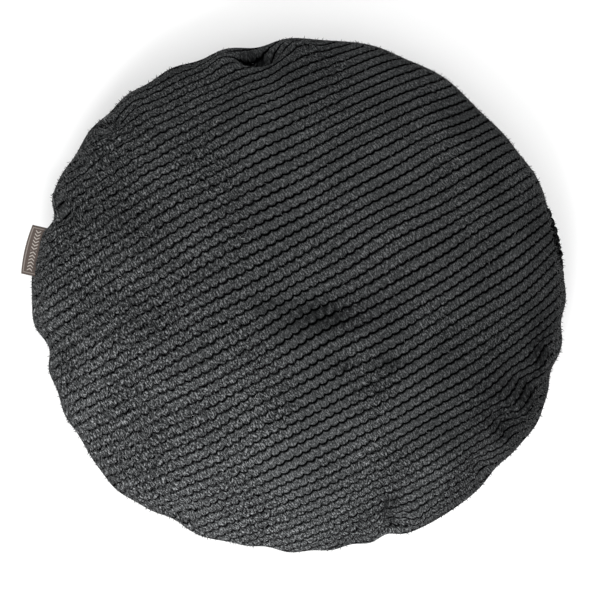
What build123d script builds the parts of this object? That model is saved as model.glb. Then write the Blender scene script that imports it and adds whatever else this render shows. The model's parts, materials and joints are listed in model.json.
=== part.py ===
from build123d import *
import os

# Round floor cushion: a plush cover with a zip in its base, over a filled inner pad.
# Millimetres. The origin is on the floor under the middle of the cushion.
# +X is to the right, +Y to the back and +Z up.

# ---- Driving dimensions: filled shape ----
seam_radius = 250.0          # finished edge seam, half of a 50 cm cushion
seam_height = 70.0           # edge seam above the floor
crown_height = 160.0         # top of the crown
rest_radius = 172.0          # flat underside that carries the cushion
rim_thickness_factor = 2.0   # layers are this much thicker along the knife edge

# The outline's middle points, each as a share of the way out and of the way up
top_shoulder_out, top_shoulder_up = 0.62, 0.80
top_slope_out, top_slope_up = 0.90, 0.37
top_edge_direction = (0.42, -1)
side_upper_in, side_upper_up = 0.13, 0.52
side_lower_in, side_lower_up = 0.50, 0.13
side_edge_direction = (-0.10, -1)

# ---- Driving dimensions: layers, counted inwards from the outside ----
plush_thickness = 5.0        # pile and backing
pad_inset = 8.6              # outside of the inner pad's casing
casing_thickness = 1.2
fill_gap = 0.3
seam_allowance = 11.0        # width of the turned-in cloth behind the edge seam
allowance_thickness = 2.5
overlock_gap = 0.05          # thread off the inner pad's edge
overlock_reach = 1.2
overlock_height = 1.6
thread_radius = 0.5
thread_clearance = 0.1

# ---- Driving dimensions: zip ----
zip_y = 64.0                 # the zip lies across the base, behind the middle
zip_opening = 284.0
hem_gap = 13.0               # between the two folded hems
hem_gap_overrun = 16.0       # gap past the bottom stop, where the open zip's pull lies
hem_width = 15.0
hem_thickness = 6.0
tape_width = 17.0
tape_thickness = 0.6
tape_gap = 1.8               # between the two tapes, under the meshed coils
tape_overrun = 17.5          # tape past each end of the opening
coil_width = 2.6             # one side's loops
coil_height = 2.5
coil_gap = 0.8               # running room for the slider's post
coil_rounding = 0.78
stop_length = 3.0
top_stop_rounding = 0.5
bottom_stop_rounding = 0.6
slider_length = 13.0
slider_width = 9.0
plate_thickness = 0.8
plate_corner = 2.0
flange_setback = 2.0
running_gap = 0.35
post_width = 0.5
post_length = 2.4
post_setback = 0.8           # from the end of the slider that leads when it closes
weld = 0.1                   # how far joined solids run into each other
bridge_length = 8.0
bridge_width = 1.6
bridge_bar = 0.8
bridge_window = 1.2
bridge_leg = 1.2
bridge_rounding = 0.6
pull_length = 25.0
pull_width = 5.6
pull_thickness = 0.7
pull_pin_radius = 0.4
pull_eye_reach = 4.8
pull_eye_width = 2.5
pull_end_rounding = 2.4
grip_hole_radius = 1.2
grip_hole_inset = 4.5
hem_stitch_inset = 4.0       # stitch row from the folded edge
stitch_thickness = 0.35

# ---- Driving dimensions: labels ----
label_angle = 171.0          # place on the edge, in degrees from +X
label_length = 46.0
label_reach = 13.0           # how far the folded label stands out of the seam
label_leaf = 0.45
label_leaf_gap = 0.3
label_clearance = 0.4
label_fold_share = 0.45      # rounding of the fold, as a share of the label's thickness
care_label_length = 38.0
care_label_width = 22.0
care_label_thickness = 0.3
care_label_x = -60.0

# ---- Heights worked out from the dimensions above ----
tape_bottom = hem_thickness
coil_top = tape_bottom
coil_bottom = coil_top - coil_height
outer_plate_top = coil_bottom - running_gap
outer_plate_bottom = outer_plate_top - plate_thickness
inner_plate_bottom = tape_bottom + tape_thickness + running_gap
bridge_bottom = outer_plate_bottom - bridge_window - bridge_bar
pull_axis_height = outer_plate_bottom - bridge_window / 2
coil_half = zip_opening / 2 - stop_length
slider_x = coil_half - slider_length / 2 - running_gap
cutter_height = 2 * seam_radius  # longer than anything it cuts


def form_outline(inset):
    """Half section of the filled cushion, drawn in by inset, as one closed wire."""
    rim = seam_radius - rim_thickness_factor * inset
    crown = crown_height - inset
    rise = crown - seam_height
    flat = rest_radius - inset / 2
    drop = seam_height - inset
    top = Spline(
        (0, crown),
        (top_shoulder_out * rim, seam_height + top_shoulder_up * rise),
        (top_slope_out * rim, seam_height + top_slope_up * rise),
        (rim, seam_height),
        tangents=[(1, 0), top_edge_direction],
    )
    side = Spline(
        (rim, seam_height),
        (rim - side_upper_in * (rim - flat), inset + side_upper_up * drop),
        (rim - side_lower_in * (rim - flat), inset + side_lower_up * drop),
        (flat, inset),
        tangents=[side_edge_direction, (-1, 0)],
    )
    base = Line((flat, inset), (0, inset))
    axis = Line((0, inset), (0, crown))
    return Wire([top, side, base, axis])


def form(inset):
    """The filled cushion as a solid of revolution, drawn in by inset."""
    section = Plane.XZ * Face(form_outline(inset))
    return revolve(section, Axis.Z)


def ring(inner, outer, low, high):
    """Flat ring about the cushion's axis."""
    hollow = Cylinder(inner, high - low, align=(Align.CENTER, Align.CENTER, Align.MIN))
    disc = Cylinder(outer, high - low, align=(Align.CENTER, Align.CENTER, Align.MIN))
    return Pos(0, 0, low) * (disc - hollow)


def block(x_low, x_high, y_low, y_high, z_low, z_high):
    """Box between two corners."""
    size = (x_high - x_low, y_high - y_low, z_high - z_low)
    low_corner = (Align.MIN, Align.MIN, Align.MIN)
    return Pos(x_low, y_low, z_low) * Box(*size, align=low_corner)


def half_space(above, height):
    """Everything above or below a height, as a large block."""
    reach = cutter_height
    if above:
        return block(-reach, reach, -reach, reach, height, height + reach)
    return block(-reach, reach, -reach, reach, height - reach, height)


def edge_thread():
    """The closing stitch line of the edge seam, through both seam allowances."""
    radius = seam_radius - rim_thickness_factor * plush_thickness - seam_allowance / 4
    return Pos(0, 0, seam_height) * Torus(radius, thread_radius)


def cover_shell():
    """The plush cover as one hollow shell, before it is cut along its seams."""
    return form(0) - form(plush_thickness)


def cover_top(thread):
    """Round top panel with its turned-in seam allowance."""
    inner_edge = seam_radius - rim_thickness_factor * plush_thickness
    dome = cover_shell() & half_space(True, seam_height)
    allowance = ring(
        inner_edge - seam_allowance / 2,
        inner_edge + seam_allowance / 2,
        seam_height,
        seam_height + allowance_thickness,
    )
    return dome + (allowance & form(plush_thickness / 2)) - thread


def cover_base():
    """Base panel, still in one piece, with its seam allowance."""
    inner_edge = seam_radius - rim_thickness_factor * plush_thickness
    bowl = cover_shell() & half_space(False, seam_height)
    allowance = ring(
        inner_edge - seam_allowance / 2,
        inner_edge + seam_allowance / 2,
        seam_height - allowance_thickness,
        seam_height,
    )
    return bowl + (allowance & form(plush_thickness / 2))


def cover_base_half(base, thread, side):
    """One part of the base, in front of the zip (side -1) or behind it (side +1)."""
    reach = cutter_height
    far = zip_y + side * reach
    half = base & block(-reach, reach, min(zip_y, far), max(zip_y, far), -reach, reach)
    opening = zip_opening / 2
    slot_edge = zip_y + side * hem_gap / 2
    slot = block(
        -opening - hem_gap_overrun,
        opening,
        zip_y - hem_gap / 2,
        zip_y + hem_gap / 2,
        -hem_thickness,
        2 * hem_thickness,
    )
    hem_edge = slot_edge + side * hem_width
    hem = block(
        -opening - tape_overrun,
        opening + tape_overrun,
        min(slot_edge, hem_edge),
        max(slot_edge, hem_edge),
        plush_thickness / 2,
        hem_thickness,
    )
    body = half - slot + (hem & form(plush_thickness / 2))
    return body - thread - hem_stitches(side)


def hem_stitches(side):
    """Row of stitching that holds a hem to its tape, lying on the tape."""
    row_y = zip_y + side * (hem_gap / 2 + hem_stitch_inset)
    half_length = zip_opening / 2 + tape_overrun / 2
    top = tape_bottom + tape_thickness
    return block(
        -half_length,
        half_length,
        row_y - stitch_thickness,
        row_y + stitch_thickness,
        top - 2 * tape_thickness,
        top + stitch_thickness,
    )


def base_seam_threads():
    """Stitch lines that close the base from each end of the zip to the edge, on its inside."""
    start = zip_opening / 2 + tape_overrun + 2 * thread_radius
    outside = plush_thickness + thread_clearance
    layer = form(outside) - form(outside + 2 * thread_radius)
    strips = []
    for side in (-1, 1):
        low, high = sorted((side * start, side * seam_radius))
        window = block(
            low,
            high,
            zip_y - thread_radius,
            zip_y + thread_radius,
            0,
            seam_height - 2 * allowance_thickness,
        )
        strips.append(layer & window)
    return Compound(children=strips)


def zip_tape(side):
    """Woven tape along one side of the zip."""
    near = zip_y + side * tape_gap / 2
    far = near + side * tape_width
    half_length = zip_opening / 2 + tape_overrun
    tape = block(
        -half_length,
        half_length,
        min(near, far),
        max(near, far),
        tape_bottom,
        tape_bottom + tape_thickness,
    )
    return tape - hem_stitches(side)


def zip_coil(side):
    """One side's run of nylon loops, as its outer shape: a rounded bar on the tape."""
    near = zip_y + side * coil_gap / 2
    far = near + side * coil_width
    bar = block(-coil_half, coil_half, min(near, far), max(near, far), coil_bottom, coil_top)
    return fillet(bar.edges().filter_by(Axis.X).group_by(Axis.Z)[0], coil_rounding)


def zip_top_stops():
    """Two metal stops, one crimped on each tape at the closing end."""
    stops = []
    for side in (-1, 1):
        near = zip_y + side * coil_gap / 2
        far = near + side * coil_width
        low, high = sorted((near, far))
        body = block(coil_half, coil_half + stop_length, low, high, coil_bottom, coil_top)
        stops.append(fillet(body.edges().filter_by(Axis.X).group_by(Axis.Z)[0], top_stop_rounding))
    return Compound(children=stops)


def zip_bottom_stop():
    """Metal stop that joins both sides of the zip where the opening ends."""
    half_width = coil_gap / 2 + coil_width
    body = block(
        -coil_half - stop_length,
        -coil_half,
        zip_y - half_width,
        zip_y + half_width,
        coil_bottom,
        coil_top,
    )
    return fillet(body.edges().filter_by(Axis.X).group_by(Axis.Z)[0], bottom_stop_rounding)


def zip_slider():
    """Slider in the closed position: two plates, flanges, a wedge post and a bridge."""
    half_length = slider_length / 2
    half_width = slider_width / 2
    outer = block(
        slider_x - half_length,
        slider_x + half_length,
        zip_y - half_width,
        zip_y + half_width,
        outer_plate_bottom,
        outer_plate_top,
    )
    inner = block(
        slider_x - half_length,
        slider_x + half_length,
        zip_y - half_width,
        zip_y + half_width,
        inner_plate_bottom,
        inner_plate_bottom + plate_thickness,
    )
    outer = fillet(outer.edges().filter_by(Axis.Z), plate_corner)
    inner = fillet(inner.edges().filter_by(Axis.Z), plate_corner)
    body = outer + inner
    flange_inner = coil_gap / 2 + coil_width + running_gap
    for side in (-1, 1):
        low, high = sorted((zip_y + side * flange_inner, zip_y + side * half_width))
        body += block(
            slider_x - half_length + flange_setback,
            slider_x + half_length - flange_setback,
            low,
            high,
            outer_plate_bottom,
            tape_bottom - running_gap,
        )
    body += block(
        slider_x + half_length - post_setback - post_length,
        slider_x + half_length - post_setback,
        zip_y - post_width / 2,
        zip_y + post_width / 2,
        outer_plate_top - weld,
        inner_plate_bottom + weld,
    )
    return body + slider_bridge()


def slider_bridge():
    """Arch under the slider that the pull hangs from."""
    arch = block(
        slider_x - bridge_length / 2,
        slider_x + bridge_length / 2,
        zip_y - bridge_width / 2,
        zip_y + bridge_width / 2,
        bridge_bottom,
        outer_plate_bottom + weld,
    )
    window = block(
        slider_x - bridge_length / 2 + bridge_leg,
        slider_x + bridge_length / 2 - bridge_leg,
        zip_y - bridge_width,
        zip_y + bridge_width,
        bridge_bottom + bridge_bar,
        outer_plate_bottom,
    )
    arch = fillet(arch.edges().filter_by(Axis.Y).group_by(Axis.Z)[0], bridge_rounding)
    return arch - window


def zip_pull():
    """Flat pull tab with an eye round the bridge, lying back along the zip."""
    half_width = pull_width / 2
    plate = block(
        slider_x - pull_length,
        slider_x - pull_eye_reach,
        zip_y - half_width,
        zip_y + half_width,
        pull_axis_height - pull_thickness / 2,
        pull_axis_height + pull_thickness / 2,
    )
    plate = fillet(plate.edges().filter_by(Axis.Z).group_by(Axis.X)[0], pull_end_rounding)
    frame = block(
        slider_x - pull_eye_reach - pull_thickness,
        slider_x,
        zip_y - half_width,
        zip_y + half_width,
        pull_axis_height - pull_thickness / 2,
        pull_axis_height + pull_thickness / 2,
    )
    eye = block(
        slider_x - pull_eye_reach,
        slider_x + pull_thickness,
        zip_y - pull_eye_width / 2,
        zip_y + pull_eye_width / 2,
        0,
        2 * pull_axis_height,
    )
    pin = Pos(slider_x, zip_y, pull_axis_height) * Rot(90, 0, 0) * Cylinder(pull_pin_radius, pull_width)
    hole_x = slider_x - pull_length + grip_hole_inset
    grip_hole = Pos(hole_x, zip_y, pull_axis_height) * Cylinder(grip_hole_radius, 2 * pull_thickness)
    return plate + frame - eye - grip_hole + pin


def side_label():
    """Folded woven label: two leaves joined by a fold, standing out of the edge seam."""
    thickness = 2 * label_leaf + label_leaf_gap
    half = label_length / 2
    leaves = block(
        seam_radius + label_clearance,
        seam_radius + label_reach,
        -half,
        half,
        seam_height - thickness / 2,
        seam_height + thickness / 2,
    )
    leaves = fillet(leaves.edges().filter_by(Axis.Y).group_by(Axis.X)[-1], label_fold_share * thickness)
    slit = block(
        seam_radius,
        seam_radius + label_reach - 2 * label_leaf,
        -label_length,
        label_length,
        seam_height - label_leaf_gap / 2,
        seam_height + label_leaf_gap / 2,
    )
    return Rot(0, 0, label_angle) * (leaves - slit)


def care_label():
    """Small satin label inside the cover, butted against the rear hem it is sewn to."""
    start_y = zip_y + hem_gap / 2 + hem_width
    return block(
        care_label_x - care_label_width / 2,
        care_label_x + care_label_width / 2,
        start_y,
        start_y + care_label_length,
        plush_thickness,
        plush_thickness + care_label_thickness,
    )


def casing_half(above):
    """Half of the inner pad's casing, closed with a narrow allowance along its edge."""
    shell = form(pad_inset) - form(pad_inset + casing_thickness)
    return shell & half_space(above, seam_height)


def casing_thread():
    """Overlocked stitch line round the inner pad's edge."""
    rim = seam_radius - rim_thickness_factor * pad_inset
    half_height = overlock_height / 2
    return ring(
        rim + overlock_gap,
        rim + overlock_reach,
        seam_height - half_height,
        seam_height + half_height,
    )


os.makedirs("parts", exist_ok=True)

thread = edge_thread()
base = cover_base()
nodes = {
    "cover_top": cover_top(thread),
    "cover_bottom_front": cover_base_half(base, thread, -1),
    "cover_bottom_rear": cover_base_half(base, thread, 1),
    "edge_seam_thread": thread,
    "base_seam_threads": base_seam_threads(),
    "zip_tape_front": zip_tape(-1),
    "zip_tape_rear": zip_tape(1),
    "zip_stitches_front": hem_stitches(-1),
    "zip_stitches_rear": hem_stitches(1),
    "zip_coil_front": zip_coil(-1),
    "zip_coil_rear": zip_coil(1),
    "zip_top_stops": zip_top_stops(),
    "zip_bottom_stop": zip_bottom_stop(),
    "zip_slider": zip_slider(),
    "zip_pull": zip_pull(),
    "side_label": side_label(),
    "care_label": care_label(),
    "inner_casing_top": casing_half(True),
    "inner_casing_bottom": casing_half(False),
    "inner_casing_overlock": casing_thread(),
    "fill_core": form(pad_inset + casing_thickness + fill_gap),
}
for name, shape in nodes.items():
    export_step(shape, f"parts/{name}.step")
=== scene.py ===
"""Round floor cushion: a plush cord cover with a zip in its base, over a filled inner pad.

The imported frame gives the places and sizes. Everything here is in metres, in the frame's own axes:
the origin is on the floor under the middle of the cushion, +X right, +Y back and +Z up.
"""

import json
import logging
import math
from collections.abc import Callable, Iterable
from dataclasses import dataclass
from enum import Enum

import bmesh
import bpy
import numpy as np
from mathutils import Matrix, Vector
from mathutils.bvhtree import BVHTree
from mathutils.geometry import delaunay_2d_cdt


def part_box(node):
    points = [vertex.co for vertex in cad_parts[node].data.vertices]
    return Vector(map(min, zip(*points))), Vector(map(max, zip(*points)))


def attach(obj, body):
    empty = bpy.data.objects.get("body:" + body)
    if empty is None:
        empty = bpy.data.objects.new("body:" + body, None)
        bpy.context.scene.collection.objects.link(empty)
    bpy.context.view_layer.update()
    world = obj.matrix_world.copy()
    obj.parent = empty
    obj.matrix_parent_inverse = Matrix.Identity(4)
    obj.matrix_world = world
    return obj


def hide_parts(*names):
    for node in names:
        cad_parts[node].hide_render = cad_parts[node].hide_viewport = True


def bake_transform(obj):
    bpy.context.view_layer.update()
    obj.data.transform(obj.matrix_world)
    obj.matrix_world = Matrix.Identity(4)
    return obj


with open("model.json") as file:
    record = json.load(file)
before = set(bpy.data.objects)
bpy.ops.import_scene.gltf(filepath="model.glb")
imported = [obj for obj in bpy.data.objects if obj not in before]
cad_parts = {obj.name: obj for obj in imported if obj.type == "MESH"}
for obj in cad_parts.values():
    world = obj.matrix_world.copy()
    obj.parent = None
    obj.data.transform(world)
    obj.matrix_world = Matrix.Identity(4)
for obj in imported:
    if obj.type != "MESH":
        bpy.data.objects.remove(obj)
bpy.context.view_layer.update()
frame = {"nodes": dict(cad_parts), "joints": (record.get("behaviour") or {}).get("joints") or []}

log = logging.getLogger("floor_cushion")

MM = 0.001
CORD_PITCH = 10.6 * MM
CORD_BOBBLE = 9.0 * MM

Colour = tuple[float, float, float, float]
Grid = dict[str, np.ndarray]


class Side(Enum):
    """The two faces of the cover, each with the sign of its outward height."""

    TOP = 1
    BASE = -1


class Half(Enum):
    """The two halves of the base panel, each with its side of the zip line."""

    FRONT = -1
    REAR = 1


# ---- Small numeric helpers ----


def smoothstep(low: float, high: float, value: np.ndarray) -> np.ndarray:
    """Rises smoothly from 0 at low to 1 at high."""
    t = np.clip((value - low) / (high - low), 0.0, 1.0)
    return t * t * (3.0 - 2.0 * t)


def angle_gap(theta: np.ndarray, degrees: float) -> np.ndarray:
    """Signed angle from a direction to theta, in degrees from -180 to 180."""
    return (np.degrees(theta) - degrees + 180.0) % 360.0 - 180.0


def bell(theta: np.ndarray, degrees: float, width: float) -> np.ndarray:
    """A smooth bump round the edge, centred on a direction, width degrees to each side."""
    return np.exp(-((angle_gap(theta, degrees) / width) ** 2))


def polar(radius: np.ndarray, theta: np.ndarray) -> list[np.ndarray]:
    """Flat x and y of places by radius and angle."""
    return [radius * np.cos(theta), radius * np.sin(theta)]


def turned(a: np.ndarray, b: np.ndarray, degrees: float) -> tuple[np.ndarray, np.ndarray]:
    """Flat places turned counter-clockwise about the middle."""
    angle = math.radians(degrees)
    return a * math.cos(angle) - b * math.sin(angle), a * math.sin(angle) + b * math.cos(angle)


def even_spread(share: np.ndarray, out: np.ndarray, up: np.ndarray) -> np.ndarray:
    """Where cloth comes to lie on a profile when it is spread evenly along it.

    Args:
        share: Places along the cloth, 0 to 1.
        out: The profile's places outwards.
        up: Its heights there.

    Returns:
        How far out each place of the cloth lies.
    """
    along = np.concatenate([[0.0], np.cumsum(np.hypot(np.diff(out), np.diff(up)))])
    return np.interp(share, along / along[-1], out)


@dataclass(frozen=True)
class SmoothNoise:
    """Seeded smooth noise over the flat cloth, a sum of plane waves of about one length."""

    wavelength: float
    seed: int
    waves: int = 9

    def __call__(self, u: np.ndarray, v: np.ndarray) -> np.ndarray:
        """The noise at flat places.

        Args:
            u: First flat coordinate, in metres.
            v: Second flat coordinate, in metres.

        Returns:
            Values of about -1 to 1.
        """
        rng = np.random.default_rng(self.seed)
        total = np.zeros_like(u)
        for _ in range(self.waves):
            heading = rng.uniform(0.0, math.tau)
            wave = math.tau / (self.wavelength * rng.uniform(0.7, 1.5))
            total += np.sin(wave * (u * math.cos(heading) + v * math.sin(heading)) + rng.uniform(0, math.tau))
        return total / math.sqrt(self.waves * 0.75)


def cell_noise(i: np.ndarray, j: np.ndarray, seed: int) -> np.ndarray:
    """One fixed random value from 0 to 1 for each whole-numbered cell."""
    value = np.sin(i * 127.1 + j * 311.7 + seed * 74.7) * 43758.5453
    return value - np.floor(value)


def new_mesh_object(name: str, verts: np.ndarray, faces: Iterable, smooth: bool = True) -> bpy.types.Object:
    """Links a new mesh object, its place in its mesh.

    Args:
        name: Object and mesh name.
        verts: Points, one row each.
        faces: Vertex numbers of each face.
        smooth: Whether faces are shaded smooth.

    Returns:
        The linked object.
    """
    mesh = bpy.data.meshes.new(name)
    mesh.from_pydata(np.asarray(verts, float).tolist(), [], [tuple(int(i) for i in f) for f in faces])
    mesh.polygons.foreach_set("use_smooth", [smooth] * len(mesh.polygons))
    mesh.update()
    obj = bpy.data.objects.new(name, mesh)
    bpy.context.scene.collection.objects.link(obj)
    return obj


def new_square(name: str, half: float) -> bpy.types.Object:
    """A flat square at floor height, half of its side on each side of the middle."""
    corners = np.array([(-1, -1, 0), (1, -1, 0), (1, 1, 0), (-1, 1, 0)]) * half
    return new_mesh_object(name, corners, [(0, 1, 2, 3)], smooth=False)


def add_uv(obj: bpy.types.Object, name: str, coords: np.ndarray) -> None:
    """Stores one pair of surface coordinates per vertex as a UV map."""
    layer = obj.data.uv_layers.new(name=name)
    loops = np.zeros(len(obj.data.loops), np.int32)
    obj.data.loops.foreach_get("vertex_index", loops)
    layer.data.foreach_set("uv", np.ascontiguousarray(coords[loops], np.float32).ravel())


def add_attribute(obj: bpy.types.Object, name: str, values: np.ndarray) -> None:
    """Stores one number per vertex."""
    layer = obj.data.attributes.new(name, "FLOAT", "POINT")
    layer.data.foreach_set("value", np.ascontiguousarray(values, np.float32))


def finish_piece(obj: bpy.types.Object, material: bpy.types.Material | None, body: str = "root",
                 nodes: Iterable[str] = ()) -> bpy.types.Object:
    """Gives a piece its material, slot, body and the nodes it stands for, and reports it.

    Args:
        obj: The finished piece.
        material: Its material, or None if the mesh already has one.
        body: The body it rides on.
        nodes: CAD nodes that it replaces.

    Returns:
        The same object.
    """
    if material is not None:
        obj.data.materials.clear()
        obj.data.materials.append(material)
    if nodes:
        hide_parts(*nodes)
    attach(obj, body)
    log.info("piece %s: %d faces", obj.name, len(obj.data.polygons))
    return obj


# ---- Node trees ----

Socket = bpy.types.NodeSocket
Value = float | Socket


@dataclass
class NodeSheet:
    """A node tree with short calls that add and link its nodes."""

    tree: bpy.types.NodeTree

    def add(self, kind: str, inputs: dict | None = None, **settings) -> bpy.types.Node:
        """Adds one node.

        Args:
            kind: The node's type name.
            inputs: Socket values or links, by socket name or number.
            settings: Node properties.

        Returns:
            The node.
        """
        node = self.tree.nodes.new(kind)
        for name, value in settings.items():
            setattr(node, name, value)
        for name, value in (inputs or {}).items():
            self.feed(node.inputs[name], value)
        return node

    def feed(self, socket: Socket, value) -> None:
        """Links a socket, or sets its value."""
        if isinstance(value, bpy.types.NodeSocket):
            self.tree.links.new(value, socket)
        else:
            socket.default_value = value

    def math(self, operation: str, *values: Value) -> Socket:
        """The result of one Math node."""
        node = self.add("ShaderNodeMath", operation=operation)
        for socket, value in zip(node.inputs, values):
            self.feed(socket, value)
        return node.outputs[0]

    def times(self, first: Value, second: Value) -> Socket:
        """The product of two numbers."""
        return self.math("MULTIPLY", first, second)

    def plus(self, first: Value, second: Value) -> Socket:
        """The sum of two numbers."""
        return self.math("ADD", first, second)

    def minus(self, first: Value, second: Value) -> Socket:
        """The first number less the second."""
        return self.math("SUBTRACT", first, second)

    def split(self, vector: Socket) -> list[Socket]:
        """The three parts of a vector."""
        return list(self.add("ShaderNodeSeparateXYZ", inputs={0: vector}).outputs)


class ShaderSheet(NodeSheet):
    """A material's node tree, with its Principled shader."""

    def __init__(self, name: str) -> None:
        """Starts a material.

        Args:
            name: The material's name.
        """
        self.material = bpy.data.materials.new(name)
        self.material.use_nodes = True
        super().__init__(self.material.node_tree)
        self.tree.nodes.clear()
        self.shader = self.add("ShaderNodeBsdfPrincipled")
        output = self.add("ShaderNodeOutputMaterial")
        self.feed(output.inputs["Surface"], self.shader.outputs[0])

    def finish(self, sockets: dict[str, Value]) -> bpy.types.Material:
        """Feeds the shader's sockets, by name, and returns the material."""
        for label, value in sockets.items():
            self.feed(self.shader.inputs[label], value)
        return self.material

    def attribute(self, name: str) -> Socket:
        """A number stored on the piece's points."""
        return self.add("ShaderNodeAttribute", attribute_name=name).outputs["Fac"]

    def away(self, value: Value, middle: Value) -> Socket:
        """How far a value is from a middle one, without its sign."""
        return self.math("ABSOLUTE", self.minus(value, middle))

    def ramp(self, value: Value, low: float, high: float, start: float = 0.0, end: float = 1.0) -> Socket:
        """Maps low..high smoothly to start..end."""
        node = self.add("ShaderNodeMapRange", interpolation_type="SMOOTHSTEP", inputs={
            "Value": value, "From Min": low, "From Max": high, "To Min": start, "To Max": end})
        return node.outputs["Result"]

    def mix(self, factor: Value, first, second, blend: str = "MIX") -> Socket:
        """Mixes two colours."""
        node = self.add("ShaderNodeMix", data_type="RGBA", blend_type=blend)
        self.feed(node.inputs[0], factor)
        self.feed(node.inputs[6], first)
        self.feed(node.inputs[7], second)
        return node.outputs[2]

    def scaled(self, vector: Socket, scale: tuple[float, float, float], turn: float = 0.0) -> Socket:
        """A vector turned about Z and scaled."""
        node = self.add("ShaderNodeMapping", inputs={
            "Vector": vector, "Scale": scale, "Rotation": (0, 0, turn)})
        return node.outputs[0]

    def noise(self, vector: Socket, scale: float, detail: float = 2.0, rough: float = 0.5) -> Socket:
        """The value of a Noise texture."""
        node = self.add("ShaderNodeTexNoise", inputs={
            "Vector": vector, "Scale": scale, "Detail": detail, "Roughness": rough})
        return node.outputs[0]

    def bump(self, height: Socket, distance: float, strength: float = 1.0) -> Socket:
        """A normal bumped by a height."""
        node = self.add("ShaderNodeBump", inputs={
            "Height": height, "Distance": distance, "Strength": strength})
        return node.outputs[0]

    def place(self) -> Socket:
        """The piece's own coordinates, in metres."""
        return self.add("ShaderNodeTexCoord").outputs["Object"]


class ShapeSheet(NodeSheet):
    """A geometry node tree with named inputs, turned into a plain mesh piece."""

    def __init__(self, name: str, sizes: dict[str, float]) -> None:
        """Starts a tree.

        Args:
            name: The tree's name.
            sizes: Named inputs and their values.
        """
        super().__init__(bpy.data.node_groups.new(name, "GeometryNodeTree"))
        self.sizes = sizes
        face = self.tree.interface
        face.new_socket("Geometry", in_out="INPUT", socket_type="NodeSocketGeometry")
        self.sockets = {}
        for label, value in sizes.items():
            kind = "NodeSocketInt" if isinstance(value, int) else "NodeSocketFloat"
            self.sockets[label] = face.new_socket(label, in_out="INPUT", socket_type=kind).identifier
        face.new_socket("Geometry", in_out="OUTPUT", socket_type="NodeSocketGeometry")
        self.source = self.add("NodeGroupInput")
        self.result = self.add("NodeGroupOutput")

    def size(self, label: str) -> Socket:
        """The socket of a named input."""
        return self.source.outputs[label]

    def random(self, low: float, high: float, seed: int) -> Socket:
        """A seeded random number for each element."""
        node = self.add("FunctionNodeRandomValue", data_type="FLOAT")
        self.feed(node.inputs[2], low)
        self.feed(node.inputs[3], high)
        self.feed(node.inputs["Seed"], seed)
        return node.outputs[1]

    def vector(self, x: Value, y: Value, z: Value) -> Socket:
        """A vector from three numbers."""
        return self.add("ShaderNodeCombineXYZ", inputs={0: x, 1: y, 2: z}).outputs[0]

    def yarn(self, path: Socket, radius: Socket, sides: int, caps: bool = False) -> Socket:
        """A round yarn laid along a curve."""
        section = self.circle(sides, radius)
        solid = self.add("GeometryNodeCurveToMesh", inputs={0: path, 1: section})
        solid.inputs["Fill Caps"].default_value = caps
        return solid.outputs[0]

    def circle(self, sides: int, radius: Socket) -> Socket:
        """A circle of a few sides."""
        return self.add("GeometryNodeCurvePrimitiveCircle", mode="RADIUS",
                        inputs={"Resolution": sides, "Radius": radius}).outputs[0]

    def strung(self, instance: Socket, step: Socket) -> Socket:
        """Copies of a shape along the tree's own curve, one each step, with Z along the curve."""
        spots = self.add("GeometryNodeResampleCurve", mode="LENGTH",
                         inputs={"Curve": self.source.outputs[0], "Length": step})
        tangent = self.add("GeometryNodeInputTangent").outputs[0]
        turn = self.add("FunctionNodeAlignRotationToVector", axis="Z", inputs={"Vector": tangent})
        placed = self.add("GeometryNodeInstanceOnPoints", inputs={
            "Points": spots.outputs[0], "Instance": instance, "Rotation": turn.outputs[0]})
        return placed.outputs[0]

    def bake(self, name: str, base: bpy.types.Object | None, geometry: Socket,
             material: bpy.types.Material) -> bpy.types.Object:
        """Ends the tree and turns its result into a plain mesh object.

        Args:
            name: The piece's name.
            base: The object that the tree works on, or None.
            geometry: The tree's last geometry.
            material: The material of the result.

        Returns:
            The new object.
        """
        real = self.add("GeometryNodeRealizeInstances", inputs={0: geometry})
        painted = self.add("GeometryNodeSetMaterial", inputs={0: real.outputs[0]})
        painted.inputs["Material"].default_value = material
        self.feed(self.result.inputs[0], painted.outputs[0])
        carrier = bpy.data.objects.new(name + "_carrier", base.data if base else bpy.data.meshes.new(name))
        bpy.context.scene.collection.objects.link(carrier)
        modifier = carrier.modifiers.new("shape", "NODES")
        modifier.node_group = self.tree
        for label, value in self.sizes.items():
            modifier[self.sockets[label]] = value
        bpy.context.view_layer.update()
        evaluated = carrier.evaluated_get(bpy.context.evaluated_depsgraph_get())
        mesh = bpy.data.meshes.new_from_object(evaluated)
        carrier.modifiers.remove(modifier)
        bpy.data.objects.remove(carrier)
        mesh.name = name
        obj = bpy.data.objects.new(name, mesh)
        bpy.context.scene.collection.objects.link(obj)
        return obj


# ---- Finishes ----


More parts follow.
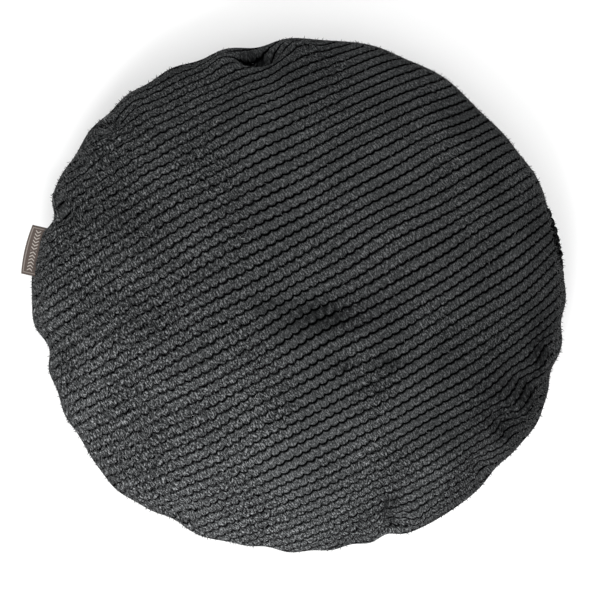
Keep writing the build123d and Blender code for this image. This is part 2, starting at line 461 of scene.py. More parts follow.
@dataclass(frozen=True)
class PlushCordFinish:
    """Charcoal plush cord: fine fibre flecks across each wale, with near-black painted shade in the grooves
    between wales and darker painted shade between bobbles.
    """

    pile: Colour = (0.0320, 0.0336, 0.0342, 1.0)
    shade: Colour = (0.0030, 0.0032, 0.0034, 1.0)
    tip: Colour = (0.150, 0.154, 0.157, 1.0)
    # Near-black painted shade for the grooves between wales.
    groove: Colour = (0.0003, 0.0003, 0.0004, 1.0)
    groove_edge: float = 0.118
    wander: float = 0.025
    fleck_strength: float = 0.58
    crushed_and_shade_strength: float = 0.85
    flank_shade: float = 0.42
    tone_shade: float = 0.16
    roughness: float = 0.92
    bump: float = 0.9 * MM

    def make(self, name: str) -> bpy.types.Material:
        """The cover's material, which follows the cloth's own UV map."""
        sheet = ShaderSheet(name)
        cloth = sheet.add("ShaderNodeUVMap", uv_map="cloth").outputs[0]
        along, across, _ = sheet.split(cloth)
        worn = sheet.attribute("disorder")
        crushed_and_shaded = sheet.attribute("crushed_and_shaded")
        fibre = sheet.scaled(cloth, (CORD_BOBBLE / MM, CORD_PITCH / MM, 1.0))
        drift = sheet.times(sheet.minus(sheet.noise(fibre, 0.45, 2.0), 0.5), self.wander)

        across = sheet.away(sheet.math("FRACT", sheet.plus(across, 0.5)), 0.5)
        across = sheet.plus(across, drift)
        # Painted shade in the grooves between wales, broken up where the pile is worn.
        groove = sheet.ramp(across, 0.5 - self.groove_edge * 1.25, 0.5 - self.groove_edge * 0.35)
        broken = sheet.ramp(sheet.noise(fibre, 0.34, 1.0), 0.44, 0.56)
        groove = sheet.times(groove, sheet.minus(1.0, sheet.times(worn, broken)))
        # Painted shade between bobbles along each wale, stronger where the pile is worn. The dashes below are
        # short dark marks where the pile is worn.
        cusp = sheet.ramp(sheet.away(sheet.math("FRACT", along), 0.5), 0.36, 0.5)
        cusp = sheet.times(cusp, sheet.plus(0.15, sheet.times(worn, 0.40)))
        dash = sheet.ramp(sheet.noise(sheet.scaled(fibre, (1.0, 0.55, 1.0), 0.5), 0.55, 1.0), 0.50, 0.60)
        dark = sheet.math("MAXIMUM", sheet.times(dash, sheet.times(worn, 0.85)), cusp)

        streak = sheet.noise(sheet.scaled(fibre, (1.0, 0.42, 1.0), 0.12), 0.66, 1.0)
        fleck = sheet.noise(sheet.scaled(fibre, (1.0, 0.62, 1.0), -0.35), 1.05, 1.0)
        light = sheet.plus(sheet.times(streak, 0.5), sheet.times(fleck, 0.5))
        strong = sheet.math("MINIMUM", 1.0, sheet.plus(self.fleck_strength, sheet.times(worn, 0.90)))
        low = sheet.times(strong, sheet.minus(1.0, sheet.ramp(light, 0.40, 0.49)))
        high = sheet.times(strong, sheet.ramp(light, 0.51, 0.62))
        colour = sheet.mix(high, sheet.mix(low, self.pile, self.shade), self.tip)
        tone = sheet.ramp(sheet.noise(sheet.place(), 14.0, 3.0), 0.35, 0.65, 0.0, self.tone_shade)
        flank = sheet.ramp(across, 0.22, 0.44, 0.0, self.flank_shade)
        # Painted light and shade: the stored per-point lightness (lighter at the lower left, darker at the
        # right, the back and the base rim) multiplies the colour.
        painted_light = sheet.attribute("painted_light")
        lit = sheet.add("ShaderNodeCombineColor", inputs={0: painted_light, 1: painted_light, 2: painted_light}).outputs[0]
        colour = sheet.mix(flank, sheet.mix(tone, colour, self.shade), self.shade)
        colour = sheet.mix(1.0, colour, lit, "MULTIPLY")
        # Crushed pile and painted shade: the stored spots darken the colour, including painted shadow in the
        # back hollow and the puckers.
        colour = sheet.mix(sheet.times(crushed_and_shaded, self.crushed_and_shade_strength), colour, self.shade)
        # The near-black painted groove shade goes on last, over the darker painted gaps between bobbles.
        colour = sheet.mix(groove, sheet.mix(dark, colour, self.shade), self.groove)
        height = sheet.minus(light, groove)
        return sheet.finish({"Base Color": colour, "Roughness": self.roughness, "Specular IOR Level": 0.0,
                             "Normal": sheet.bump(height, self.bump, 0.7)})


@dataclass(frozen=True)
class YarnFinish:
    """Spun thread or loose fibre: one colour with a fine twist and fuzz."""

    colour: tuple[float, float, float]
    twist: float = 1400.0
    roughness: float = 0.8

    def make(self, name: str) -> bpy.types.Material:
        """The yarn's material."""
        sheet = ShaderSheet(name)
        place = sheet.place()
        wave = sheet.add("ShaderNodeTexWave", wave_type="BANDS", bands_direction="DIAGONAL", inputs={
            "Vector": place, "Scale": self.twist / 6.0, "Distortion": 2.0, "Detail": 1.0}).outputs["Fac"]
        low = (*[c * 0.55 for c in self.colour], 1.0)
        high = (*[min(1.0, c * 1.35) for c in self.colour], 1.0)
        mixed = sheet.times(sheet.plus(wave, sheet.noise(place, 2600.0, 2.0)), 0.5)
        return sheet.finish({"Base Color": sheet.mix(mixed, low, high), "Roughness": self.roughness,
                             "Sheen Weight": 0.2, "Normal": sheet.bump(mixed, 0.12 * MM)})


@dataclass(frozen=True)
class WovenTapeFinish:
    """Herringbone zip tape."""

    dark: Colour = (0.016, 0.0165, 0.018, 1.0)
    light: Colour = (0.05, 0.051, 0.054, 1.0)
    chevron: float = 3.2 * MM
    yarn: float = 0.55 * MM

    def make(self, name: str) -> bpy.types.Material:
        """The tape's material, woven along X."""
        sheet = ShaderSheet(name)
        along, across, _ = sheet.split(sheet.place())
        run = sheet.plus(along, sheet.math("PINGPONG", across, self.chevron))
        rib = sheet.math("PINGPONG", sheet.math("DIVIDE", run, self.yarn), 0.5)
        weft = sheet.math("PINGPONG", sheet.math("DIVIDE", across, self.yarn * 0.8), 0.5)
        weave = sheet.plus(rib, sheet.times(weft, 0.5))
        colour = sheet.mix(sheet.ramp(weave, 0.1, 0.7), self.dark, self.light)
        return sheet.finish({"Base Color": colour, "Roughness": 0.75, "Sheen Weight": 0.15,
                             "Normal": sheet.bump(weave, 0.15 * MM)})


@dataclass(frozen=True)
class HardFinish:
    """Metal, painted metal or nylon, with fine wear that changes its gloss."""

    colour: tuple[float, float, float]
    worn: tuple[float, float, float]
    metallic: float
    roughness: float
    grain: float = 900.0

    def make(self, name: str) -> bpy.types.Material:
        """The hard part's material."""
        sheet = ShaderSheet(name)
        place = sheet.place()
        brushed = sheet.noise(sheet.scaled(place, (0.12, 1.0, 1.0)), self.grain, 4.0, 0.6)
        rubbed = sheet.ramp(sheet.noise(place, self.grain * 0.4, 4.0), 0.56, 0.72, 0.0, 0.5)
        gloss = sheet.ramp(brushed, 0.3, 0.7, self.roughness * 0.8, self.roughness * 1.25)
        return sheet.finish({"Base Color": sheet.mix(rubbed, (*self.colour, 1.0), (*self.worn, 1.0)),
                             "Metallic": self.metallic, "Roughness": gloss,
                             "Normal": sheet.bump(brushed, 0.03 * MM)})


@dataclass(frozen=True)
class WovenLabelFinish:
    """Taupe woven label with a pale border line and a band of pale chevrons, on its own UV map."""

    ground: Colour = (0.040, 0.025, 0.019, 1.0)
    weft: Colour = (0.068, 0.046, 0.036, 1.0)
    pale: Colour = (0.42, 0.385, 0.35, 1.0)
    border: float = 2.2
    line: float = 0.42
    line_strength: float = 0.40
    motif_middle: float = 7.4
    motif_half: float = 2.3
    motif_period: float = 3.1
    yarn: float = 0.34

    def make(self, name: str) -> bpy.types.Material:
        """The label's material. Its UV map counts millimetres along and out from the seam."""
        sheet = ShaderSheet(name)
        uv = sheet.add("ShaderNodeUVMap", uv_map="label").outputs[0]
        along, out, _ = sheet.split(uv)
        ribs = sheet.math("PINGPONG", sheet.math("DIVIDE", along, self.yarn), 0.5)
        rows = sheet.math("PINGPONG", sheet.math("DIVIDE", out, self.yarn), 0.5)
        weave = sheet.plus(ribs, sheet.times(rows, 0.6))
        ground = sheet.mix(sheet.ramp(weave, 0.1, 0.75), self.ground, self.weft)
        edge = sheet.away(sheet.math("MINIMUM", along, out), self.border)
        frame_line = sheet.times(sheet.math("LESS_THAN", edge, self.line), self.line_strength)
        drift = sheet.away(out, self.motif_middle)
        chevron = sheet.math("PINGPONG", sheet.plus(along, sheet.times(drift, 0.8)), self.motif_period / 2)
        inside = sheet.times(sheet.math("LESS_THAN", drift, self.motif_half),
                             sheet.math("GREATER_THAN", along, self.border * 1.7))
        motif = sheet.times(sheet.math("LESS_THAN", chevron, 0.5), inside)
        pale = sheet.times(sheet.math("MAXIMUM", frame_line, motif), sheet.ramp(rows, 0.02, 0.2, 0.45, 1.0))
        height = sheet.plus(weave, sheet.times(pale, 0.6))
        return sheet.finish({"Base Color": sheet.mix(pale, ground, self.pale), "Roughness": 0.7,
                             "Sheen Weight": 0.15, "Normal": sheet.bump(height, 0.12 * MM)})


@dataclass(frozen=True)
class PaleClothFinish:
    """White inner cloth: satin ribbon, bonded casing or loose fill, by its grain."""

    colour: Colour
    grain: float
    depth: float
    roughness: float = 0.7
    stretch: tuple[float, float, float] = (1.0, 1.0, 1.0)

    def make(self, name: str) -> bpy.types.Material:
        """The cloth's material."""
        sheet = ShaderSheet(name)
        place = sheet.scaled(sheet.place(), self.stretch)
        fibre = sheet.noise(place, self.grain, 5.0, 0.65)
        spots = sheet.add("ShaderNodeTexVoronoi", inputs={
            "Vector": place, "Scale": self.grain * 0.8}).outputs[0]
        height = sheet.plus(fibre, sheet.times(spots, 0.6))
        shade = (*[c * 0.8 for c in self.colour[:3]], 1.0)
        return sheet.finish({"Base Color": sheet.mix(sheet.ramp(fibre, 0.3, 0.7), shade, self.colour),
                             "Roughness": self.roughness, "Sheen Weight": 0.1,
                             "Normal": sheet.bump(height, self.depth)})


@dataclass(frozen=True)
class FloorFinish:
    """Plain pale studio floor."""

    colour: Colour = (0.9, 0.9, 0.9, 1.0)

    def make(self, name: str) -> bpy.types.Material:
        """The floor's material."""
        sheet = ShaderSheet(name)
        speck = sheet.noise(sheet.place(), 30.0, 3.0)
        low = (*[c * 0.985 for c in self.colour[:3]], 1.0)
        return sheet.finish({"Base Color": sheet.mix(speck, low, self.colour), "Roughness": 0.8})


class Finishes:
    """Every material of the cushion."""

    def __init__(self) -> None:
        """Makes the materials."""
        self.plush = PlushCordFinish().make("plush_cord")
        self.pile = YarnFinish((0.030, 0.031, 0.032)).make("pile_fibre")
        self.lint = YarnFinish((0.55, 0.55, 0.54)).make("lint")
        self.thread = YarnFinish((0.04, 0.041, 0.043)).make("thread")
        self.white_thread = YarnFinish((0.7, 0.7, 0.68)).make("white_thread")
        self.tape = WovenTapeFinish().make("zip_tape")
        self.nylon = HardFinish((0.03, 0.031, 0.034), (0.07, 0.07, 0.075), 0.0, 0.38).make("zip_nylon")
        self.metal = HardFinish((0.6, 0.61, 0.62), (0.4, 0.4, 0.41), 1.0, 0.32).make("zip_metal")
        self.paint = HardFinish((0.02, 0.02, 0.022), (0.16, 0.16, 0.17), 0.35, 0.42).make("zip_paint")
        self.label = WovenLabelFinish().make("woven_label")
        self.satin = PaleClothFinish((0.8, 0.8, 0.78, 1.0), 1500.0, 0.04 * MM, 0.35,
                                     (1.0, 0.15, 1.0)).make("satin_label")
        self.casing = PaleClothFinish((0.78, 0.78, 0.75, 1.0), 420.0, 0.25 * MM).make("pad_casing")
        self.fill = PaleClothFinish((0.86, 0.86, 0.84, 1.0), 160.0, 1.6 * MM, 0.9).make("polyester_fill")


# ---- The shape of the filled cover ----


@dataclass(frozen=True)
class CushionSizes:
    """Sizes read from the frame, and the cloth's own sizes."""

    seam_radius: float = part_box("cover_top")[1].x
    seam_height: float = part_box("cover_top")[0].z
    crown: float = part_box("cover_top")[1].z
    zip_y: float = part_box("cover_bottom_front")[1].y
    tape_bottom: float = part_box("zip_tape_front")[0].z
    slot_right: float = -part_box("zip_bottom_stop")[0].x
    slot_left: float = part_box("zip_bottom_stop")[0].x - 16.0 * MM
    slot_half: float = 6.5 * MM
    cut_radius: float = 284.0 * MM
    rest_radius: float = 172.0 * MM
    cloth: float = 4.6 * MM
    pad_inset: float = 9.4 * MM
    casing: float = 1.2 * MM


@dataclass(frozen=True)
class Pinch:
    """A place on the edge where the seam is drawn in and up or down."""

    angle: float
    inward: float
    width: float
    lift: float


@dataclass(frozen=True)
class Hollow:
    """A dent in one face of the cover, or with a negative depth a bulge."""

    angle: float
    ring: float
    width: float
    reach: float
    depth: float


@dataclass(frozen=True)
class SeamCurve:
    """The edge seam, slightly oval, with the pinches that sewing left in it."""

    sizes: CushionSizes
    oval: float = 4.5 * MM
    oval_angle: float = -5.0
    mean_radius: float = 249.0 * MM
    drop: float = 4.0 * MM
    pinches: tuple[Pinch, ...] = (
        Pinch(12, 13, 9, 20), Pinch(33, 3, 5, 0), Pinch(45, 5, 9, -4), Pinch(66, 2, 6, -4),
        Pinch(86, 4, 9, -6),
        Pinch(101, 11, 6, 6), Pinch(114, 8, 6, 0), Pinch(126, 5, 5, 0), Pinch(137, 4, 4, 3),
        Pinch(149, 4, 5, -3), Pinch(157, 2, 3, 0), Pinch(163.5, 12, 3.4, 8), Pinch(171, 5, 4, 4),
        Pinch(181, 2, 5, 0),
        Pinch(192, 12, 4, 8), Pinch(201, 7, 5, 6), Pinch(212, 4, 5, 0), Pinch(226, -3, 4, 3),
        Pinch(240, 4, 4, -4), Pinch(254, 4, 5, 4), Pinch(262, 5, 4, -5), Pinch(272, 5, 4.5, 5),
        Pinch(281, 6, 4, 2), Pinch(289, 8, 3, 8), Pinch(300, -1, 4, -4), Pinch(318, 5, 4, 6),
        Pinch(331, -3, 4, 0), Pinch(343, 4, 3.5, -4), Pinch(354, 7, 3.5, 8),
    )

    def radius(self, theta: np.ndarray) -> np.ndarray:
        """How far the seam is from the middle, at each angle."""
        out = self.mean_radius + self.oval * np.cos(2.0 * (theta - math.radians(self.oval_angle)))
        for pinch in self.pinches:
            out = out - pinch.inward * MM * bell(theta, pinch.angle, pinch.width)
        return out

    def height(self, theta: np.ndarray) -> np.ndarray:
        """How high the seam is, at each angle."""
        up = np.full_like(theta, self.sizes.seam_height - self.drop)
        for pinch in self.pinches:
            up = up + pinch.lift * MM * bell(theta, pinch.angle, pinch.width)
        return up


class PolarSurface:
    """A smooth surface over the round cut: a grid of points, rings out from the middle by spokes."""

    def __init__(self, points: np.ndarray, side: Side) -> None:
        """Stores the grid and works out its outward normals.

        Args:
            points: Grid of shape (rings + 1, spokes, 3).
            side: Which face of the cover it is.
        """
        self.points = points
        self.side = side
        self.rings = points.shape[0] - 1
        self.spokes = points.shape[1]
        outward = np.gradient(points, axis=0)
        around = np.roll(points, -1, axis=1) - np.roll(points, 1, axis=1)
        normals = np.cross(outward, around) * side.value
        normals[0] = normals[1].mean(axis=0)
        length = np.linalg.norm(normals, axis=2, keepdims=True)
        self.normals = normals / np.maximum(length, 1e-12)

    def sample(self, grid: np.ndarray, rho: np.ndarray, theta: np.ndarray) -> np.ndarray:
        """Reads a grid between its points with a cubic fit.

        Args:
            grid: Values on the grid, of shape (rings + 1, spokes, 3).
            rho: Places out from the middle, 0 to 1.
            theta: Angles, in radians.

        Returns:
            One row of three values for each place.
        """
        inner = np.roll(grid[1:2], self.spokes // 2, axis=1)
        padded = np.concatenate([inner, grid, 2.0 * grid[-1:] - grid[-2:-1]])
        x = np.clip(rho, 0.0, 1.0) * self.rings
        i = np.minimum(np.floor(x).astype(int), self.rings - 1)
        y = (theta % math.tau) / math.tau * self.spokes
        j = np.floor(y).astype(int)
        total = np.zeros((len(rho), 3))
        for a, row_weight in enumerate(self._weights(x - i)):
            for b, spoke_weight in enumerate(self._weights(y - j)):
                part = padded[i + a, (j + b - 1) % self.spokes]
                total += part * (row_weight * spoke_weight)[:, None]
        return total

    @staticmethod
    def _weights(t: np.ndarray) -> tuple[np.ndarray, ...]:
        """The four weights of a cubic fit at t between its middle two points."""
        return (
            ((-0.5 * t + 1.0) * t - 0.5) * t,
            (1.5 * t - 2.5) * t * t + 1.0,
            ((-1.5 * t + 2.0) * t + 0.5) * t,
            (0.5 * t - 0.5) * t * t,
        )

    def at(self, rho: np.ndarray, theta: np.ndarray) -> tuple[np.ndarray, np.ndarray]:
        """Points and outward normals at places on the cut."""
        points = self.sample(self.points, rho, theta)
        normals = self.sample(self.normals, rho, theta)
        return points, normals / np.linalg.norm(normals, axis=1, keepdims=True)

    def smoothed(self, waves: int) -> np.ndarray:
        """The grid with only its first few waves round the edge kept, as radius, turn and height."""
        spectrum = np.fft.rfft(self.cylindrical(), axis=1)
        spectrum[:, waves:] = 0.0
        return np.fft.irfft(spectrum, n=self.spokes, axis=1)

    def cylindrical(self) -> np.ndarray:
        """The grid as radius, turn from each spoke's own angle, and height."""
        spoke = np.arange(self.spokes) * math.tau / self.spokes
        radius = np.hypot(self.points[..., 0], self.points[..., 1])
        turn = np.arctan2(self.points[..., 1], self.points[..., 0]) - spoke
        turn = (turn + math.pi) % math.tau - math.pi
        turn[0] = 0.0
        return np.stack([radius, turn, self.points[..., 2]], axis=2)

    @staticmethod
    def from_cylindrical(grid: np.ndarray, side: Side) -> "PolarSurface":
        """A surface from radius, turn and height."""
        spokes = grid.shape[1]
        angle = np.arange(spokes) * math.tau / spokes + grid[..., 1]
        return PolarSurface(np.stack([*polar(grid[..., 0], angle), grid[..., 2]], axis=2), side)


@dataclass
class FilledCover:
    """Two round cuts sewn at the rim and blown up by their fill, worked out as cloth."""

    sizes: CushionSizes
    seam: SeamCurve
    spacing: float = 5.3 * MM
    wale_angle: float = 28.75
    frames: int = 22
    quick_frames: int = 6
    pressure: float = 60.0
    stiffness: float = 15.0
    bending: float = 0.5
    base_cone: float = 0.22
    ripple: float = 30.0 * MM
    rings: int = 96
    spokes: int = 720
    profile_power: float = 2.94
    height_power: float = 1.07
    base_power: float = 1.35
    lean_x: float = -0.035
    lean_y: float = 0.075
    fold_strength: float = 0.62
    fold_places: tuple[tuple[float, float, float], ...] = (
        (101, 9, 0.7), (140, 14, 0.6), (161, 9, 0.4), (197, 9, 0.3), (291, 9, 0.6), (330, 24, 0.45),
        (62, 30, -0.5), (225, 16, -0.2))
    top_hollows: tuple[Hollow, ...] = (
        Hollow(101.5, 0.92, 4.0, 0.032, 26), Hollow(92, 0.93, 4.0, 0.045, -6),
            Hollow(110, 0.92, 4.0, 0.05, -5),
        Hollow(140, 0.95, 3.0, 0.04, 10), Hollow(146, 0.93, 3.0, 0.06, -4), Hollow(161, 0.95, 2.5, 0.05, 8),
        Hollow(291.5, 0.92, 2.6, 0.05, 10), Hollow(297, 0.92, 3.0, 0.06, -4), Hollow(316, 0.92, 2.5, 0.08, 8),
        Hollow(327, 0.86, 2.6, 0.10, 7), Hollow(338, 0.88, 2.4, 0.10, 7), Hollow(348, 0.92, 2.4, 0.07, 6),
        Hollow(332, 0.86, 2.0, 0.10, -4), Hollow(343, 0.88, 2.0, 0.10, -4), Hollow(240, 0.94, 3.0, 0.05, 6),
    )
    base_hollows: tuple[Hollow, ...] = (
        Hollow(3, 0.92, 8.0, 0.09, -19), Hollow(13, 0.92, 7.0, 0.09, -15), Hollow(21, 0.92, 6.0, 0.09, -15),
        Hollow(198, 0.94, 7.0, 0.05, -6),
    )

    def solve(self) -> tuple[PolarSurface, PolarSurface]:
        """Sews, fills and settles the cover.

        Returns:
            The top surface and the base surface.
        """
        flat, faces, rim = self._cut()
        cloth = self._sewn(flat, faces, rim)
        shape = self._fill(cloth, len(flat), rim)
        base = np.concatenate([shape[:rim], shape[len(flat):]])
        lookup = self._lookup(flat, faces)
        top_surface = self._calm(self._gather(shape[: len(flat)], faces, lookup), Side.TOP)
        base_surface = self._calm(self._gather(base, faces, lookup), Side.BASE)
        return self._settle_top(top_surface), self._settle_base(base_surface)

    def _rays(self) -> tuple[np.ndarray, np.ndarray]:
        """The rings, as a column of shares of the cut, and the spokes' angles."""
        rho = np.linspace(0.0, 1.0, self.rings + 1)[:, None]
        return rho, np.arange(self.spokes) * math.tau / self.spokes

    def _cut(self) -> tuple[np.ndarray, list, int]:
        """The flat round cut as a mesh in line with the wales, with its rim points first."""
        radius = self.sizes.cut_radius
        angle = math.radians(self.wale_angle)
        steps = np.arange(-int(radius / self.spacing) - 2, int(radius / self.spacing) + 3) * self.spacing
        a, b = np.meshgrid(steps, steps)
        x = a * math.cos(angle) - b * math.sin(angle)
        y = a * math.sin(angle) + b * math.cos(angle)
        inside = np.hypot(x, y) < radius - 0.55 * self.spacing
        rim = int(round(math.tau * radius / self.spacing))
        turn = np.arange(rim) * math.tau / rim
        points = np.concatenate([np.stack(polar(radius, turn), 1), np.stack([x[inside], y[inside]], 1)])
        edges = [(i, (i + 1) % rim) for i in range(rim)]
        verts, _, faces, *_ = delaunay_2d_cdt([Vector(p) for p in points], edges, [], 1, 1e-7)
        return np.array([tuple(v) for v in verts]), [tuple(f) for f in faces], rim

    def _start(self, flat: np.ndarray, side: Side) -> np.ndarray:
        """The shape that the filling starts from, with small waves that grow into puckers."""
        sizes = self.sizes
        rho = np.hypot(flat[:, 0], flat[:, 1]) / sizes.cut_radius
        theta = np.arctan2(flat[:, 1], flat[:, 0])
        edge = rho**4
        radius = sizes.seam_radius * rho * (1.0 - edge) + self.seam.radius(theta) * rho * edge
        height = self.seam.height(theta) * edge + sizes.seam_height * (1.0 - edge)
        if side is Side.TOP:
            height += (sizes.crown - sizes.seam_height) * (1.0 - rho**2.6)
        else:
            height -= sizes.seam_height * (1.0 - np.clip((rho - 0.55) / 0.45, 0.0, 1.0) ** 2.2)
        phases = np.random.default_rng(4).uniform(0.0, math.tau, 9)
        waves = (17, 23, 29, 37, 43, 31, 19, 26, 34)
        ripple = sum(np.sin(k * theta + phase) for k, phase in zip(waves, phases)) / len(waves)
        height += side.value * self.ripple * ripple * rho**6 * (1.0 - rho**8)
        return np.stack([*polar(radius, theta), height], 1)

    def _sewn(self, flat: np.ndarray, faces: list, rim: int) -> bpy.types.Object:
        """One closed mesh of both cuts, sharing the rim, with the flat cut kept as a shape key."""
        count = len(flat)
        verts = np.concatenate([self._start(flat, Side.TOP), self._start(flat, Side.BASE)[rim:]])
        under = [tuple(i if i < rim else i + count - rim for i in reversed(f)) for f in faces]
        cloth = new_mesh_object("filled_cover", verts, list(faces) + under)
        cone = self.base_cone * (self.sizes.cut_radius - np.hypot(flat[rim:, 0], flat[rim:, 1]))
        cut = np.concatenate([np.c_[flat, np.zeros(count)], np.c_[flat[rim:], -cone]])
        cloth.shape_key_add(name="Basis")
        key = cloth.shape_key_add(name="cut")
        key.data.foreach_set("co", cut.astype(np.float32).ravel())
        key.value = 0.0
        cloth.vertex_groups.new(name="seam").add(list(range(rim)), 1.0, "REPLACE")
        return cloth

    def _fill(self, cloth: bpy.types.Object, count: int, rim: int) -> np.ndarray:
        """Blows the cover up by its fill over the floor, and returns its settled points."""
        modifier = cloth.modifiers.new("cloth", "CLOTH")
        settings = modifier.settings
        values = {
            "quality": 6, "mass": 0.0002, "tension_stiffness": self.stiffness,
            "compression_stiffness": self.stiffness, "shear_stiffness": 3.0,
            "bending_stiffness": self.bending, "tension_damping": 10.0, "compression_damping": 10.0,
            "shear_damping": 10.0, "bending_damping": 1.0, "air_damping": 3.0,
            "use_pressure": True, "uniform_pressure_force": self.pressure, "vertex_group_mass": "seam",
            "rest_shape_key": cloth.data.shape_keys.key_blocks["cut"]}
        for label, value in values.items():
            setattr(settings, label, value)
        settings.effector_weights.gravity = 0.0
        modifier.collision_settings.use_self_collision = False
        modifier.collision_settings.distance_min = MM
        frames = self.frames
        modifier.point_cache.frame_start = 1
        modifier.point_cache.frame_end = frames
        ground = new_square("ground", 0.6)
        ground.modifiers.new("contact", "COLLISION")
        ground.collision.thickness_outer = MM
        ground.collision.cloth_friction = 5.0
        for step in range(1, frames + 1):
            bpy.context.scene.frame_set(step)
        evaluated = cloth.evaluated_get(bpy.context.evaluated_depsgraph_get())
        settled = np.zeros(len(evaluated.data.vertices) * 3)
        evaluated.data.vertices.foreach_get("co", settled)
        bpy.context.scene.frame_set(1)
        bpy.data.objects.remove(cloth)
        bpy.data.objects.remove(ground)
        log.info("filled cover settled over %d frames, %d points on each face", frames, count - rim)
        return settled.reshape(-1, 3)

    def _lookup(self, flat: np.ndarray, faces: list) -> tuple[np.ndarray, np.ndarray]:
        """For each point of the polar grid, its triangle of the cut and its weights there."""
        tree = BVHTree.FromPolygons([(x, y, 0.0) for x, y in flat], faces)
        rho, turn = self._rays()
        grid = np.stack(polar(rho * self.sizes.cut_radius, turn), axis=2).reshape(-1, 2)
        spots = [tree.find_nearest((x, y, 0.0)) for x, y in grid]
        index = np.array([spot[2] for spot in spots])
        place = np.array([tuple(spot[0])[:2] for spot in spots])
        corners = flat[np.array(faces)[index]]
        edge_1, edge_2 = corners[:, 1] - corners[:, 0], corners[:, 2] - corners[:, 0]
        away = place - corners[:, 0]
        area = edge_1[:, 0] * edge_2[:, 1] - edge_1[:, 1] * edge_2[:, 0]
        w1 = (away[:, 0] * edge_2[:, 1] - away[:, 1] * edge_2[:, 0]) / area
        w2 = (edge_1[:, 0] * away[:, 1] - edge_1[:, 1] * away[:, 0]) / area
        return index, np.stack([1.0 - w1 - w2, w1, w2], 1)

    def _gather(self, shape: np.ndarray, faces: list, lookup: tuple) -> np.ndarray:
        """One face of the settled cover on the polar grid."""
        index, weights = lookup
        corners = shape[np.array(faces)[index]]
        points = (corners * weights[:, :, None]).sum(axis=1)
        return points.reshape(self.rings + 1, self.spokes, 3)

    def _fold_strength(self, theta: np.ndarray) -> np.ndarray:
        """How strongly the cloth folds towards each part of the edge."""
        strength = np.full_like(theta, self.fold_strength)
        for angle, width, more in self.fold_places:
            strength = strength + more * bell(theta, angle, width)
        return np.clip(strength, 0.06, 1.25)

    def _calm(self, points: np.ndarray, side: Side) -> PolarSurface:
        """Eases the folds where the cloth lies smooth, and keeps the sewn edge as it is."""
        surface = PolarSurface(points, side)
        whole, broad = surface.cylindrical(), surface.smoothed(8)
        rho, theta = self._rays()
        keep = self._fold_strength(theta)[None, :]
        keep = keep + (1.0 - keep) * rho**24
        eased = broad + (whole - broad) * keep[..., None]
        eased[-1] = whole[-1]
        return PolarSurface.from_cylindrical(eased, side)

    def _settle_top(self, surface: PolarSurface) -> PolarSurface:
        """Brings the crown to its height, spreads the cloth evenly over it and lets it lean a little."""
        sizes = self.sizes
        whole, broad = surface.cylindrical(), surface.smoothed(3)
        rho, _ = self._rays()
        rise = sizes.crown - sizes.seam_height
        out = np.linspace(0.0, 1.0, 2001)
        reach = even_spread(rho, out, rise / sizes.seam_radius * self._dome(out))
        settled = broad.copy()
        settled[..., 0] = broad[-1:, :, 0] * reach
        settled[..., 1] = broad[..., 1] * rho**6
        wanted = sizes.seam_height + rise * self._dome(reach)
        settled[..., 2] += (wanted - broad[..., 2]) * (1.0 - rho**8)
        fine = (whole - broad) * smoothstep(0.0, 0.3, rho)[..., None]
        points = PolarSurface.from_cylindrical(settled + fine, Side.TOP).points
        lean = self.lean_x * points[..., 0] + self.lean_y * points[..., 1]
        points[..., 2] += lean * (1.0 - rho**4)
        return self._dented(PolarSurface(points, Side.TOP), self.top_hollows)

    def _dome(self, reach: np.ndarray) -> np.ndarray:
        """Height of the filled top as a share of its rise, from 1 in the middle to 0 at the seam."""
        return (1.0 - reach**self.profile_power) ** (1.0 / self.height_power)

    def _dented(self, surface: PolarSurface, hollows: tuple[Hollow, ...]) -> PolarSurface:
        """Presses hollows into a face, along its own normals."""
        rho, theta = self._rays()
        depth = np.zeros((self.rings + 1, self.spokes))
        for hollow in hollows:
            across = bell(theta[None, :], hollow.angle, hollow.width)
            depth += hollow.depth * MM * across * np.exp(-(((rho - hollow.ring) / hollow.reach) ** 2))
        depth *= 1.0 - smoothstep(0.965, 1.0, rho)
        return PolarSurface(surface.points - surface.normals * depth[..., None], surface.side)

    def _settle_base(self, surface: PolarSurface) -> PolarSurface:
        """Lays the underside flat where it carries the cushion and curves it up to the seam."""
        sizes = self.sizes
        whole, broad = surface.cylindrical(), surface.smoothed(3)
        cut = self._rays()[0] * sizes.cut_radius
        loose = np.clip((cut - sizes.rest_radius) / (sizes.cut_radius - sizes.rest_radius), 0.0, 1.0)
        out = np.linspace(0.0, 1.0, 1001)
        slope = sizes.seam_height / (sizes.seam_radius - sizes.rest_radius)
        part = even_spread(loose, out, slope * out**self.base_power)
        settled = broad.copy()
        outward = sizes.rest_radius + part * (broad[-1:, :, 0] - sizes.rest_radius)
        settled[..., 0] = np.where(loose > 0.0, outward, cut)
        settled[..., 1] = broad[..., 1] * loose**2
        settled[..., 2] = broad[-1:, :, 2] * part**self.base_power
        fine = (whole - broad) * smoothstep(0.0, 0.45, loose)[..., None]
        surface = PolarSurface.from_cylindrical(settled + fine, Side.BASE)
        points = self._dented(surface, self.base_hollows).points
        points[..., 2] = np.maximum(points[..., 2], 0.0)
        return PolarSurface(points, Side.BASE)


# ---- Plush cord cloth ----


